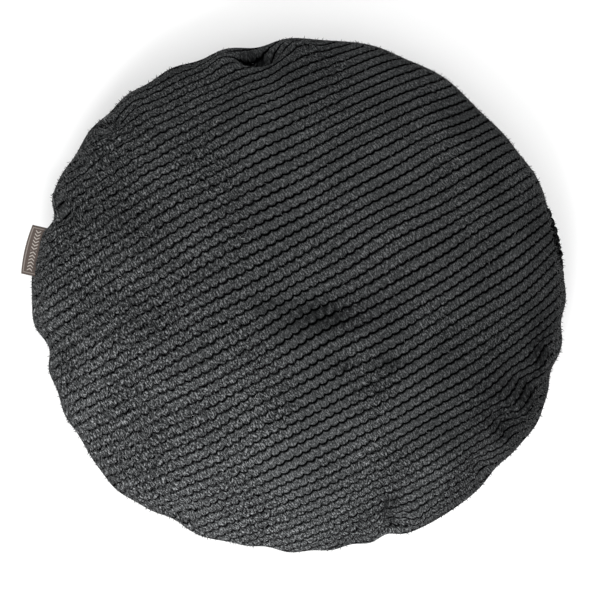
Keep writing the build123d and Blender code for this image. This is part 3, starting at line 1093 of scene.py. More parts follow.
@dataclass(frozen=True)
class PlushCord:
    """The cord's relief: wales of beaded plush with scalloped grooves between them."""

    pitch: float = CORD_PITCH
    bobble: float = CORD_BOBBLE
    groove_depth: float = 3.6 * MM
    cusp_depth: float = 0.6 * MM
    scallop: float = 2.1 * MM
    columns: tuple[float, ...] = (-0.5, -0.43, -0.30, -0.10, 0.10, 0.30, 0.43)
    rows: int = 5

    def scalloped(self, along: np.ndarray) -> np.ndarray:
        """How far a groove swings across the cloth at each place along it, in bobbles."""
        part = along - np.floor(along)
        return -self.scallop * (np.abs(np.sin(math.pi * part)) ** 0.75 - 0.6)

    def wander(self, a: np.ndarray, b: np.ndarray, disorder: np.ndarray) -> tuple[np.ndarray, np.ndarray]:
        """Slow drift of the knitted rows, in metres along and across."""
        slow = SmoothNoise(0.11, 21)(a, b) * 0.7 * MM
        slow_across = SmoothNoise(0.09, 22)(a, b) * 0.8 * MM
        quick = SmoothNoise(0.017, 23)(a, b) * 0.6 * MM * (0.1 + disorder)
        quick_across = SmoothNoise(0.015, 24)(a, b) * 0.75 * MM * (0.1 + disorder)
        return slow + quick, slow_across + quick_across

    def height(self, along: np.ndarray, across: np.ndarray, disorder: np.ndarray) -> np.ndarray:
        """Depth of the surface below the crests.

        Args:
            along: Place along the wale, counted in bobbles.
            across: Place across, counted in wales, whole numbers on the crests.
            disorder: 0 where the cord is crisp, 1 where its bobbles break up.

        Returns:
            Heights, 0 at the crests and negative in the grooves.
        """
        wale = np.round(across)
        bead = np.floor(along)
        edge = np.clip(np.abs(across - wale) * 2.0, 0.0, 1.0)
        wall = 1.0 - (1.0 - edge**5.0) ** 0.45
        lift = cell_noise(bead, wale, 3)
        part = along - bead
        dip = 1.0 - np.abs(np.sin(math.pi * part)) ** 0.5
        missing = disorder * (cell_noise(bead, wale, 7) < 0.35)
        down = self.groove_depth * wall * (1.0 - 0.55 * missing) * (1.0 - 0.45 * disorder)
        down = down + (self.cusp_depth + 0.9 * MM * disorder) * dip * (1.0 - edge**4)
        down = down + (0.25 * MM + 1.1 * MM * disorder) * lift * (1.0 - edge**2)
        return -down


@dataclass
class ClothPanel:
    """A flat piece of cord cloth as a fine grid in line with its wales."""

    cord: PlushCord
    sizes: CushionSizes
    turn: float
    disorder: Callable[[np.ndarray, np.ndarray], np.ndarray]
    half: Half | None = None
    margin: float = 1.3 * MM
    lining_step: float = 11.0 * MM

    def lattice(self) -> dict[str, np.ndarray]:
        """The grid's flat places, wale coordinates and faces.

        Returns:
            u, v: flat places; along, across: wale coordinates; quads: vertex numbers.
        """
        cord, sizes = self.cord, self.sizes
        wales = int(sizes.cut_radius / cord.pitch) + 2
        beads = int(sizes.cut_radius / cord.bobble) + 2
        if self.half is None:
            across = np.array([k + s for k in range(-wales, wales) for s in cord.columns])
            start = 0.0
        else:
            count = int((sizes.cut_radius + sizes.zip_y) / cord.pitch) + 2
            across = np.array([k + 0.5 + s for k in range(count) for s in cord.columns]) * self.half.value
            start = sizes.zip_y
            across = across if self.half is Half.REAR else across[::-1]
        along = np.arange(-beads * cord.rows, beads * cord.rows + 1) / cord.rows
        aa, bb = np.meshgrid(along, across)
        a, b = aa * cord.bobble, bb * cord.pitch
        fade = 1.0 if self.half is None else smoothstep(0.0, 1.5, np.abs(bb))
        rough_u, rough_v = turned(a, b + start, self.turn)
        disorder = self.disorder(rough_u, rough_v)
        drift_a, drift_b = cord.wander(a, b, disorder)
        a = a + drift_a * fade
        swing = 0.55 + 0.45 * (1.0 - smoothstep(-0.06, 0.13, rough_u + 0.4 * rough_v))
        b = b + (cord.scalloped(aa) * swing + drift_b) * fade + start
        u, v = turned(a, b, self.turn)
        inside = np.hypot(u, v) < sizes.cut_radius - self.margin
        number = np.full(u.shape, -1)
        number[inside] = np.arange(inside.sum())
        corners = np.stack([number[:-1, :-1], number[:-1, 1:], number[1:, 1:], number[1:, :-1]], axis=2)
        quads = corners[(corners >= 0).all(axis=2)]
        used = np.zeros(inside.sum(), bool)
        used[quads.ravel()] = True
        renumber = np.cumsum(used) - 1
        grids = {"u": u, "v": v, "along": aa, "across": bb + self._shift(), "disorder": disorder}
        return {label: grid[inside][used] for label, grid in grids.items()} | {"quads": renumber[quads]}

    def _shift(self) -> float:
        """How far the wale lines of a half panel lie from its cut edge, in wales."""
        return 0.0 if self.half is None else 0.5

    def outline(self, grid: dict[str, np.ndarray]) -> tuple[np.ndarray, np.ndarray]:
        """The panel's whole edge, counter-clockwise.

        Args:
            grid: The fine grid.

        Returns:
            New rim points, and the grid's own vertex numbers along a straight cut edge, in order.
        """
        radius = self.sizes.cut_radius
        step = self.cord.bobble / self.cord.rows
        if self.half is None:
            count = int(round(math.tau * radius / step))
            angle = np.arange(count) * math.tau / count
            return np.stack(polar(radius, angle), 1), np.zeros(0, int)
        low = math.asin(self.sizes.zip_y / radius)
        start, end = (low, math.pi - low) if self.half is Half.REAR else (math.pi - low, math.tau + low)
        count = int(round((end - start) * radius / step))
        angle = np.linspace(start, end, count + 1)
        rim = np.stack(polar(radius, angle), 1)
        cut = np.flatnonzero(np.abs(grid["v"] - self.sizes.zip_y) < 1e-7)
        order = cut[np.argsort(grid["u"][cut] * self.half.value)]
        return rim, order

    def mesh(self) -> dict[str, np.ndarray]:
        """The outer face and the lining of the panel, sharing its edge.

        Returns:
            u, v, along, across, disorder per vertex; lining flag per vertex; faces as a list.
        """
        grid = self.lattice()
        rim, cut = self.outline(grid)
        fine = np.stack([grid["u"], grid["v"]], 1)
        count = len(fine)
        edge_numbers = np.concatenate([np.arange(len(rim)) + count, cut]).astype(int)
        points = np.concatenate([fine, rim])
        ragged = self._loop(grid["quads"])
        used = np.unique(np.concatenate([edge_numbers, np.array(ragged).ravel()]))
        local = {int(n): k for k, n in enumerate(used)}
        loop_edges = [(local[int(p)], local[int(q)]) for p, q in zip(edge_numbers, np.roll(edge_numbers, -1))]
        inner_edges = [(local[p], local[q]) for p, q in ragged]
        verts, _, faces, origin, _, _ = delaunay_2d_cdt(
            [Vector(points[n]) for n in used], loop_edges + inner_edges, [], 1, 1e-8)
        tree = BVHTree.FromPolygons([(x, y, 0.0) for x, y in fine], grid["quads"].tolist())
        ring = []
        for face in faces:
            middle = sum((Vector((*verts[i], 1.0)) for i in face), Vector()) / len(face)
            if tree.ray_cast(middle, Vector((0, 0, -1)), 2.0)[0] is None:
                ring.append(tuple(int(used[origin[i][0]]) for i in face))

        lining_points, lining_faces = self._lining(points[edge_numbers])
        fresh = lining_points[len(edge_numbers):]
        offset = len(points)
        remap = np.concatenate([edge_numbers, np.arange(len(fresh)) + offset])
        lining = [tuple(int(remap[i]) for i in reversed(face)) for face in lining_faces]
        every = np.concatenate([points, fresh])
        edge = np.zeros(len(every), bool)
        edge[edge_numbers] = True
        along, across = self._wale_coordinates(every[count:])
        return {"u": every[:, 0], "v": every[:, 1],
                "disorder": np.concatenate([grid["disorder"], np.zeros(len(every) - count)]),
                "along": np.concatenate([grid["along"], along]),
                "across": np.concatenate([grid["across"], across]),
                "lining": np.arange(len(every)) >= offset, "edge": edge,
                "faces": [tuple(q) for q in grid["quads"].tolist()] + ring + lining}

    def _wale_coordinates(self, points: np.ndarray) -> tuple[np.ndarray, np.ndarray]:
        """Wale coordinates of places off the grid, without the small drift."""
        a, b = turned(points[:, 0], points[:, 1], -self.turn)
        if self.half is not None:
            b = b - self.sizes.zip_y
        return a / self.cord.bobble, b / self.cord.pitch + self._shift()

    @staticmethod
    def _loop(quads: np.ndarray) -> list[tuple[int, int]]:
        """The edges that belong to one quad only."""
        edges = np.concatenate([quads[:, [k, (k + 1) % 4]] for k in range(4)])
        key = np.sort(edges, axis=1)
        _, first, count = np.unique(key, axis=0, return_index=True, return_counts=True)
        return [(int(p), int(q)) for p, q in edges[first[count == 1]]]

    def _lining(self, edge: np.ndarray) -> tuple[np.ndarray, list]:
        """A coarse flat mesh inside the panel's edge, for its lining."""
        radius = self.sizes.cut_radius
        steps = np.arange(-radius, radius, self.lining_step)
        x, y = np.meshgrid(steps, steps)
        inside = np.hypot(x, y) < radius - 0.7 * self.lining_step
        if self.half is not None:
            away = (y - self.sizes.zip_y) * self.half.value
            inside &= away > 0.9 * self.lining_step
        points = np.concatenate([edge, np.stack([x[inside], y[inside]], 1)])
        if self.half is not None:
            row = np.arange(-0.235, 0.2351, 3.0 * MM)
            near = np.full_like(row, self.sizes.zip_y + self.half.value * 3.2 * MM)
            points = np.concatenate([points, np.stack([row, near], 1)])
        count = len(edge)
        edges = [(i, (i + 1) % count) for i in range(count)]
        _, _, faces, origin, _, _ = delaunay_2d_cdt([Vector(p) for p in points], edges, [], 1, 1e-8)
        return points, [tuple(origin[i][0] for i in face) for face in faces]


@dataclass
class Cover:
    """The outer cover: a top panel and a base in two halves, joined by the zip."""

    sizes: CushionSizes
    cord: PlushCord
    top: PolarSurface
    base: PolarSurface
    wale_angle: float
    finishes: Finishes
    hem_radius: float = 2.9 * MM
    hem_reach: float = 24.0 * MM
    hem_width: float = 20.0 * MM
    hem_start: float = 4.0 * MM
    closed_gap: float = 0.15 * MM
    slot_end: float = 9.0 * MM

    def disorder(self, u: np.ndarray, v: np.ndarray) -> np.ndarray:
        """How broken the cord looks: most at the left and lower left, least at the upper right."""
        left = smoothstep(0.0, 0.22, -u - 0.25 * v)
        low = smoothstep(0.12, 0.27, -v + 0.1 * u)
        patch = SmoothNoise(0.09, 31)(u, v) * 0.18
        return np.clip(0.06 + 0.80 * np.maximum(left, 0.85 * low) + patch, 0.0, 1.0)

    @staticmethod
    def even_disorder(u: np.ndarray, v: np.ndarray) -> np.ndarray:
        """The same slight disorder everywhere, as the base has."""
        return np.full_like(u, 0.18)

    def painted_light(self, u: np.ndarray, v: np.ndarray) -> np.ndarray:
        """Painted light and shade: lighter at the lower left, which faces the light, darker at the right and
        along the back, with a little random tone.
        """
        lighter = smoothstep(-0.02, 0.27, -0.45 * u - 0.88 * v) * 0.80
        darker = smoothstep(0.02, 0.27, 0.95 * u - 0.15 * v) * 0.30 + smoothstep(0.14, 0.27, v) * 0.22
        return 1.0 + lighter - darker + 0.05 * SmoothNoise(0.06, 51)(u, v)

    def crushed_and_shaded(self, u: np.ndarray, v: np.ndarray) -> np.ndarray:
        """Darker spots: pile brushed the wrong way in a few places on the top, and painted shadow in the
        hollow at the back edge and in the puckers at the lower right and bottom edge.
        """
        # Each spot is x, y, two widths and a strength. The strong spot at the back edge is painted shadow in
        # the hollow. The spots at the lower right and bottom edge are painted shade in the puckers.
        spots = ((0.012, -0.022, 0.040, 0.016, 1.0), (0.028, -0.068, 0.013, 0.008, 0.8),
                 (0.072, -0.066, 0.016, 0.007, 0.8), (0.062, -0.090, 0.014, 0.007, 0.6),
                 (-0.045, -0.012, 0.022, 0.008, 0.4), (0.205, -0.105, 0.055, 0.050, 0.55),
                 (0.085, -0.225, 0.012, 0.022, 0.8), (-0.0515, 0.256, 0.014, 0.010, 3.0),
                 (0.246, -0.060, 0.022, 0.036, 0.95), (0.230, -0.112, 0.024, 0.032, 0.80))
        speckle = 0.5 + 0.5 * SmoothNoise(0.007, 41)(u, v)
        total = np.zeros_like(u)
        for x, y, wide, deep, depth in spots:
            round_spot = np.exp(-(((u - x) / wide) ** 2) - ((v - y) / deep) ** 2)
            total = np.maximum(total, depth * round_spot)
        return np.clip(total * (0.35 + 0.9 * speckle), 0.0, 1.0)

    def build(self) -> dict[str, bpy.types.Object]:
        """Builds the three cover pieces.

        Returns:
            The pieces by name.
        """
        pieces = {}
        panel = ClothPanel(self.cord, self.sizes, self.wale_angle, self.disorder)
        pieces["cover_top"] = self._panel("cover_top_plush", panel, self.top, ("cover_top",))
        for half, node in ((Half.FRONT, "cover_bottom_front"), (Half.REAR, "cover_bottom_rear")):
            panel = ClothPanel(self.cord, self.sizes, 0.0, self.even_disorder, half)
            pieces[node] = self._panel(node + "_plush", panel, self.base, (node,))
        return pieces

    def _panel(self, name: str, panel: ClothPanel, surface: PolarSurface,
               nodes: tuple[str, ...]) -> bpy.types.Object:
        """One finished panel of cord cloth."""
        flat = panel.mesh()
        rho = np.hypot(flat["u"], flat["v"]) / self.sizes.cut_radius
        theta = np.arctan2(flat["v"], flat["u"])
        points, normals = surface.at(rho, theta)
        relief = self.cord.height(flat["along"], flat["across"], flat["disorder"])
        relief = relief * (1.0 - smoothstep(0.975, 1.0, rho))
        cloth = self.sizes.cloth * (1.0 - rho**14)
        depth = np.where(flat["lining"], -cloth, relief)
        depth = np.where(flat["edge"], 0.0, depth)
        if panel.half is not None:
            points, depth = self._hem(panel.half, flat, points, depth)
        points = points + normals * depth[:, None]
        top = surface.side is Side.TOP
        faces = flat["faces"] if top else [tuple(reversed(f)) for f in flat["faces"]]
        obj = new_mesh_object(name, points, faces)
        add_uv(obj, "cloth", np.stack([flat["along"], flat["across"]], 1))
        add_attribute(obj, "disorder", flat["disorder"])
        add_attribute(obj, "outer", 1.0 - flat["lining"])
        add_attribute(obj, "crushed_and_shaded", self.crushed_and_shaded(flat["u"], flat["v"]) * float(top))
        # Painted shade: the base darkens towards its rim, where it lies in shadow under the seam fold.
        rim_shade = 1.0 if top else 1.0 - 0.75 * smoothstep(0.80, 0.92, rho)
        add_attribute(obj, "painted_light", self.painted_light(flat["u"], flat["v"]) * rim_shade)
        return finish_piece(obj, self.finishes.plush, nodes=nodes)

    def _hem(self, half: Half, flat: dict[str, np.ndarray], points: np.ndarray,
             depth: np.ndarray) -> tuple[np.ndarray, np.ndarray]:
        """Rolls the cut edge up into the hem and parts it where the zip shows."""
        sizes = self.sizes
        rho = np.hypot(flat["u"], flat["v"]) / sizes.cut_radius
        near = np.clip((flat["v"] - sizes.zip_y) * half.value, 0.0, None)
        ends = self.slot_end / 2
        open_here = (smoothstep(sizes.slot_left - ends, sizes.slot_left + ends, flat["u"])
                     * (1.0 - smoothstep(sizes.slot_right - ends, sizes.slot_right + ends, flat["u"])))
        part = self.closed_gap + (sizes.slot_half - self.closed_gap) * open_here
        part = part * np.exp(-((near / self.hem_reach) ** 2))
        moved = points.copy()
        moved[:, 1] += half.value * part * (1.0 - smoothstep(0.90, 1.0, rho))
        inside = np.clip(self.hem_radius - near, 0.0, self.hem_radius)
        roll = self.hem_radius - np.sqrt(np.maximum(self.hem_radius**2 - inside**2, 0.0))
        lined = np.where(near < self.hem_width, 2.0 * self.hem_radius, sizes.cloth)
        outer = np.where(flat["edge"], 0.0, depth * smoothstep(0.0, self.hem_start, near)) - roll
        hem = np.where(flat["lining"], -lined, outer)
        weight = (near < self.hem_width) * (1.0 - smoothstep(0.93, 0.995, rho))
        return moved, depth * (1.0 - weight) + hem * weight


# ---- Inner pad ----


@dataclass
class InnerPad:
    """The filled pad inside the cover: two casing rounds, their overlocked edge and the fill."""

    sizes: CushionSizes
    top: PolarSurface
    base: PolarSurface
    finishes: Finishes
    rings: int = 40
    spokes: int = 144
    waves: int = 12
    loop_step: float = 3.2 * MM
    edge_room: float = 3.0 * MM
    hollow_angle: float = 101.5
    hollow_width: float = 11.0
    hollow_room: float = 22.0 * MM

    def _level(self, surface: PolarSurface, inset: float) -> np.ndarray:
        """A smooth face of the pad, drawn in from the cover by inset."""
        smooth = PolarSurface.from_cylindrical(surface.smoothed(self.waves), surface.side)
        spoke = np.arange(self.spokes) * math.tau / self.spokes
        grid = np.meshgrid(np.linspace(0.0, 1.0, self.rings + 1), spoke, indexing="ij")
        rho, theta = (part.ravel() for part in grid)
        points, normals = smooth.at(rho, theta)
        depth = inset * (1.0 - rho**10)
        radial = np.stack([*polar(1.0, theta), 0.0 * theta], 1)
        room = self.hollow_room * bell(theta, self.hollow_angle, self.hollow_width)
        squeeze = (2.0 * inset + self.edge_room + room) * rho**5
        points = points - normals * depth[:, None] - radial * squeeze[:, None]
        return points.reshape(self.rings + 1, self.spokes, 3)

    def _rim(self, inset: float) -> np.ndarray:
        """The pad's edge, shared by its two faces."""
        upper, under = self._level(self.top, inset)[-1], self._level(self.base, inset)[-1]
        return (upper + under) / 2.0

    def _faces(self, start: int, ring_start: int, flip: bool, rim: int) -> list[tuple[int, ...]]:
        """Faces of one round: a fan in the middle, then rings out to the shared rim."""
        n = self.spokes
        rows = [ring_start + r * n for r in range(self.rings - 1)] + [rim]
        faces = [(start, rows[0] + j, rows[0] + (j + 1) % n) for j in range(n)]
        for near, far in zip(rows, rows[1:]):
            for j in range(n):
                k = (j + 1) % n
                faces.append((near + j, far + j, far + k, near + k))
        return [tuple(reversed(f)) for f in faces] if flip else faces

    def _closed(self, name: str, upper: np.ndarray, under: np.ndarray, rim: np.ndarray) -> bpy.types.Object:
        """A closed body between an upper and an under face that share a rim."""
        n = self.spokes
        verts = np.concatenate([rim, upper[0, :1], upper[1:-1].reshape(-1, 3), under[0, :1],
                                under[1:-1].reshape(-1, 3)])
        first = n
        second = n + 1 + (self.rings - 1) * n
        faces = self._faces(first, first + 1, False, 0) + self._faces(second, second + 1, True, 0)
        return new_mesh_object(name, verts, faces)

    def build(self) -> None:
        """Builds the casing, its overlocked edge and the fill."""
        sizes = self.sizes
        inner = sizes.pad_inset + sizes.casing
        rim = self._rim(sizes.pad_inset)
        for side, surface, node in ((Side.TOP, self.top, "inner_casing_top"),
                                    (Side.BASE, self.base, "inner_casing_bottom")):
            outside, inside = self._level(surface, sizes.pad_inset), self._level(surface, inner)
            pair = (outside, inside) if side is Side.TOP else (inside, outside)
            piece = self._closed(node + "_cloth", *pair, rim)
            finish_piece(piece, self.finishes.casing, nodes=(node,))
        deep = inner + 0.6 * MM
        fill = self._closed("fill_tufted", self._level(self.top, deep), self._level(self.base, deep),
                            self._rim(deep))
        finish_piece(fill, self.finishes.fill, nodes=("fill_core",))
        self._overlock(rim)

    def _overlock(self, rim: np.ndarray) -> None:
        """Thread loops sewn round the pad's edge."""
        path = closed_path("overlock_path", rim)
        sheet = ShapeSheet("overlock", {"Step": self.loop_step, "Loop": 1.5 * MM, "Thread": 0.28 * MM})
        loop = sheet.circle(8, sheet.size("Loop"))
        placed = sheet.strung(sheet.yarn(loop, sheet.size("Thread"), 4), sheet.size("Step"))
        piece = sheet.bake("inner_casing_overlock_loops", path, placed, self.finishes.white_thread)
        bpy.data.objects.remove(path)
        finish_piece(piece, None, nodes=("inner_casing_overlock",))


def closed_path(name: str, points: np.ndarray, cyclic: bool = True) -> bpy.types.Object:
    """A curve object through points, for a node tree to work on."""
    curve = bpy.data.curves.new(name, "CURVE")
    curve.dimensions = "3D"
    spline = curve.splines.new("POLY")
    spline.points.add(len(points) - 1)
    spline.points.foreach_set("co", np.c_[points, np.ones(len(points))].ravel())
    spline.use_cyclic_u = cyclic
    obj = bpy.data.objects.new(name, curve)
    bpy.context.scene.collection.objects.link(obj)
    return obj


# ---- Sewing, zip and labels ----


@dataclass
class Sewing:
    """Lockstitch threads of the edge seam and of the base seam past the zip."""

    sizes: CushionSizes
    seam: SeamCurve
    base: PolarSurface
    finishes: Finishes
    stitch: float = 3.4 * MM
    gap: float = 0.7 * MM
    thread: float = 0.35 * MM
    edge_inset: float = 7.0 * MM
    row_reach: float = 215.0 * MM
    row_depth: float = 6.4 * MM
    slot_gap: float = 6.0 * MM

    def build(self) -> None:
        """Builds both rows of stitches."""
        theta = np.linspace(0.0, math.tau, 720, endpoint=False)
        radius = self.seam.radius(theta) - self.edge_inset
        points = np.stack([*polar(radius, theta), self.seam.height(theta)], 1)
        self._row("edge_seam_stitches", [closed_path("edge_row", points)], ("edge_seam_thread",))
        ends = []
        for start, end in ((self.sizes.slot_left - self.slot_gap, -self.row_reach),
                           (self.sizes.slot_right + self.slot_gap, self.row_reach)):
            u = np.linspace(start, end, 40)
            v = np.full_like(u, self.sizes.zip_y)
            rho, turn = np.hypot(u, v) / self.sizes.cut_radius, np.arctan2(v, u)
            place, normal = self.base.at(rho, turn)
            ends.append(closed_path("base_row", place - normal * self.row_depth, False))
        self._row("base_seam_stitches", ends, ("base_seam_threads",))

    def _row(self, name: str, paths: list[bpy.types.Object], nodes: tuple[str, ...]) -> None:
        """One row of stitches along the given paths, joined as one piece."""
        pieces = [self._stitches(name, path) for path in paths]
        first = pieces[0]
        if len(pieces) > 1:
            with bpy.context.temp_override(active_object=first, selected_editable_objects=pieces,
                                           selected_objects=pieces, object=first):
                bpy.ops.object.join()
        first.name = name
        finish_piece(first, None, nodes=nodes)

    def _stitches(self, name: str, path: bpy.types.Object) -> bpy.types.Object:
        """Short thread capsules laid end to end along a path."""
        sheet = ShapeSheet(name, {"Stitch": self.stitch, "Gap": self.gap, "Thread": self.thread})
        half = sheet.times(sheet.minus(sheet.size("Stitch"), sheet.size("Gap")), 0.5)
        capsule = sheet.add("GeometryNodeMeshUVSphere", inputs={"Segments": 6, "Rings": 5, "Radius": 1.0})
        scale = sheet.vector(sheet.size("Thread"), sheet.size("Thread"), half)
        shaped = sheet.add("GeometryNodeTransform", inputs={"Geometry": capsule.outputs[0], "Scale": scale})
        placed = sheet.strung(shaped.outputs[0], sheet.size("Stitch"))
        piece = sheet.bake(name, path, placed, self.finishes.thread)
        bpy.data.objects.remove(path)
        return piece


@dataclass
class Zip:
    """The base zip: woven tapes, nylon coils, stops, slider and pull."""

    finishes: Finishes
    loop_pitch: float = 1.5 * MM
    wire: float = 0.36 * MM

    def build(self) -> None:
        """Builds the coils and dresses the CAD parts."""
        for node in ("zip_coil_front", "zip_coil_rear"):
            self._coil(node)
        dress = {"zip_tape_front": self.finishes.tape, "zip_tape_rear": self.finishes.tape,
                 "zip_top_stops": self.finishes.metal, "zip_bottom_stop": self.finishes.metal,
                 "zip_slider": self.finishes.paint, "zip_pull": self.finishes.paint,
                 "zip_stitches_front": self.finishes.thread, "zip_stitches_rear": self.finishes.thread}
        for node, material in dress.items():
            paint_node(node, material)

    def _coil(self, node: str) -> None:
        """One nylon coil, wound inside the room its CAD bar holds."""
        low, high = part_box(node)
        turns = int((high.x - low.x) / self.loop_pitch)
        sizes = {"Turns": float(turns), "Length": high.x - low.x - 2.0 * self.wire, "Wire": self.wire,
                 "Width": (high.y - low.y) / 2.0 - self.wire, "Height": (high.z - low.z) / 2.0 - self.wire}
        sheet = ShapeSheet(node, sizes)
        wound = sheet.add("GeometryNodeCurveSpiral", inputs={
            "Resolution": 8, "Rotations": sheet.size("Turns"), "Start Radius": 1.0, "End Radius": 1.0,
            "Height": sheet.size("Length")})
        scale = sheet.vector(sheet.size("Height"), sheet.size("Width"), 1.0)
        oval = sheet.add("GeometryNodeTransform", inputs={"Geometry": wound.outputs[0], "Scale": scale})
        middle = (high + low) / 2.0
        start = (low.x + self.wire, middle.y, middle.z)
        laid = sheet.add("GeometryNodeTransform", inputs={
            "Geometry": oval.outputs[0], "Rotation": (0.0, math.pi / 2.0, 0.0), "Translation": start})
        solid = sheet.yarn(laid.outputs[0], sheet.size("Wire"), 5, caps=True)
        piece = sheet.bake(node + "_wound", None, solid, self.finishes.nylon)
        piece.data.polygons.foreach_set("use_smooth", [True] * len(piece.data.polygons))
        finish_piece(piece, None, nodes=(node,))


def paint_node(node: str, material: bpy.types.Material) -> None:
    """Gives a CAD node that stays in view its finished material."""
    obj = frame["nodes"][node]
    for place in obj.material_slots:
        place.material = material
    if not obj.material_slots:
        obj.data.materials.append(material)


@dataclass
class SideLabel:
    """The woven label, folded over and caught in the edge seam."""

    finishes: Finishes
    length: float = 46.0 * MM
    thickness: float = 0.4 * MM
    root_reach: float = 5.0 * MM
    angle: float = 171.0
    skew: float = -4.0
    leaf_gap: float = 0.45 * MM
    bow: float = 2.0 * MM
    tuck: float = 1.5 * MM
    shift: float = 0.4 * MM
    fold: float = 1.0 * MM
    sag: float = 1.1 * MM
    columns: int = 24
    wraps: int = 25

    def build(self) -> None:
        """Builds the label and bends it between the cover and its outer edge."""
        low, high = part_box("side_label")
        hinge = Vector(next(j for j in frame["joints"] if j["name"] == "label_flap")["pos_m"])
        angle = math.radians(self.angle)
        outward = Vector((math.cos(angle), math.sin(angle), 0.0))
        tangent = Vector((-outward.y, outward.x, 0.0))
        turn = Matrix.Rotation(math.radians(self.skew), 3, "Z")
        edge = max((v.co - hinge).dot(outward) for v in frame["nodes"]["side_label"].data.vertices)
        reach = edge - self.bow
        leaf = reach + self.root_reach
        centre = hinge - outward * self.tuck + tangent * self.shift
        height = (low.z + high.z) / 2.0
        verts, uvs = [], []
        for i in range(self.columns + 1):
            s = (i / self.columns - 0.5) * self.length
            for k in range(self.wraps + 1):
                w = k / self.wraps * 2.0 * leaf
                out = w if w < leaf else 2.0 * leaf - w
                free = max(0.0, out - self.root_reach) / reach
                fold = math.sqrt(max(0.0, 1.0 - (max(0.0, out - leaf + self.fold) / self.fold) ** 2))
                lift = (self.leaf_gap + self.thickness) / 2.0 * (1.0 if w < leaf else -1.0) * fold
                curve = self.bow * (1.0 - (2.0 * s / self.length) ** 2) * free
                droop = self.sag * free**2 * math.cos(3.0 * s / self.length)
                local = turn @ (outward * (out - self.root_reach + curve) + tangent * s)
                verts.append((centre.x + local.x, centre.y + local.y, height + lift - droop))
                uvs.append((min(s + self.length / 2.0, self.length / 2.0 - s) / MM, (leaf - out) / MM))
        row = self.wraps + 1
        faces = [(i * row + k, (i + 1) * row + k, (i + 1) * row + k + 1, i * row + k + 1)
                 for i in range(self.columns) for k in range(self.wraps)]
        obj = new_mesh_object("side_label_woven", np.array(verts), faces)
        add_uv(obj, "label", np.array(uvs))
        solid = obj.modifiers.new("leaf", "SOLIDIFY")
        solid.thickness = self.thickness
        solid.offset = 0.0
        apply_modifiers(obj)
        recalculate_outward(obj)
        obj.data.materials.clear()
        obj.data.materials.append(self.finishes.label)
        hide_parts("side_label")
        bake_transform(obj)
        log.info("piece %s: %d faces", obj.name, len(obj.data.polygons))


def apply_modifiers(obj: bpy.types.Object) -> None:
    """Bakes an object's modifiers into its mesh."""
    bpy.context.view_layer.update()
    evaluated = obj.evaluated_get(bpy.context.evaluated_depsgraph_get())
    mesh = bpy.data.meshes.new_from_object(evaluated)
    obj.modifiers.clear()
    obj.data = mesh


def recalculate_outward(obj: bpy.types.Object) -> None:
    """Turns every face of a closed mesh outwards."""
    work = bmesh.new()
    work.from_mesh(obj.data)
    bmesh.ops.recalc_face_normals(work, faces=work.faces)
    work.to_mesh(obj.data)
    work.free()


# ---- Loose pile ----


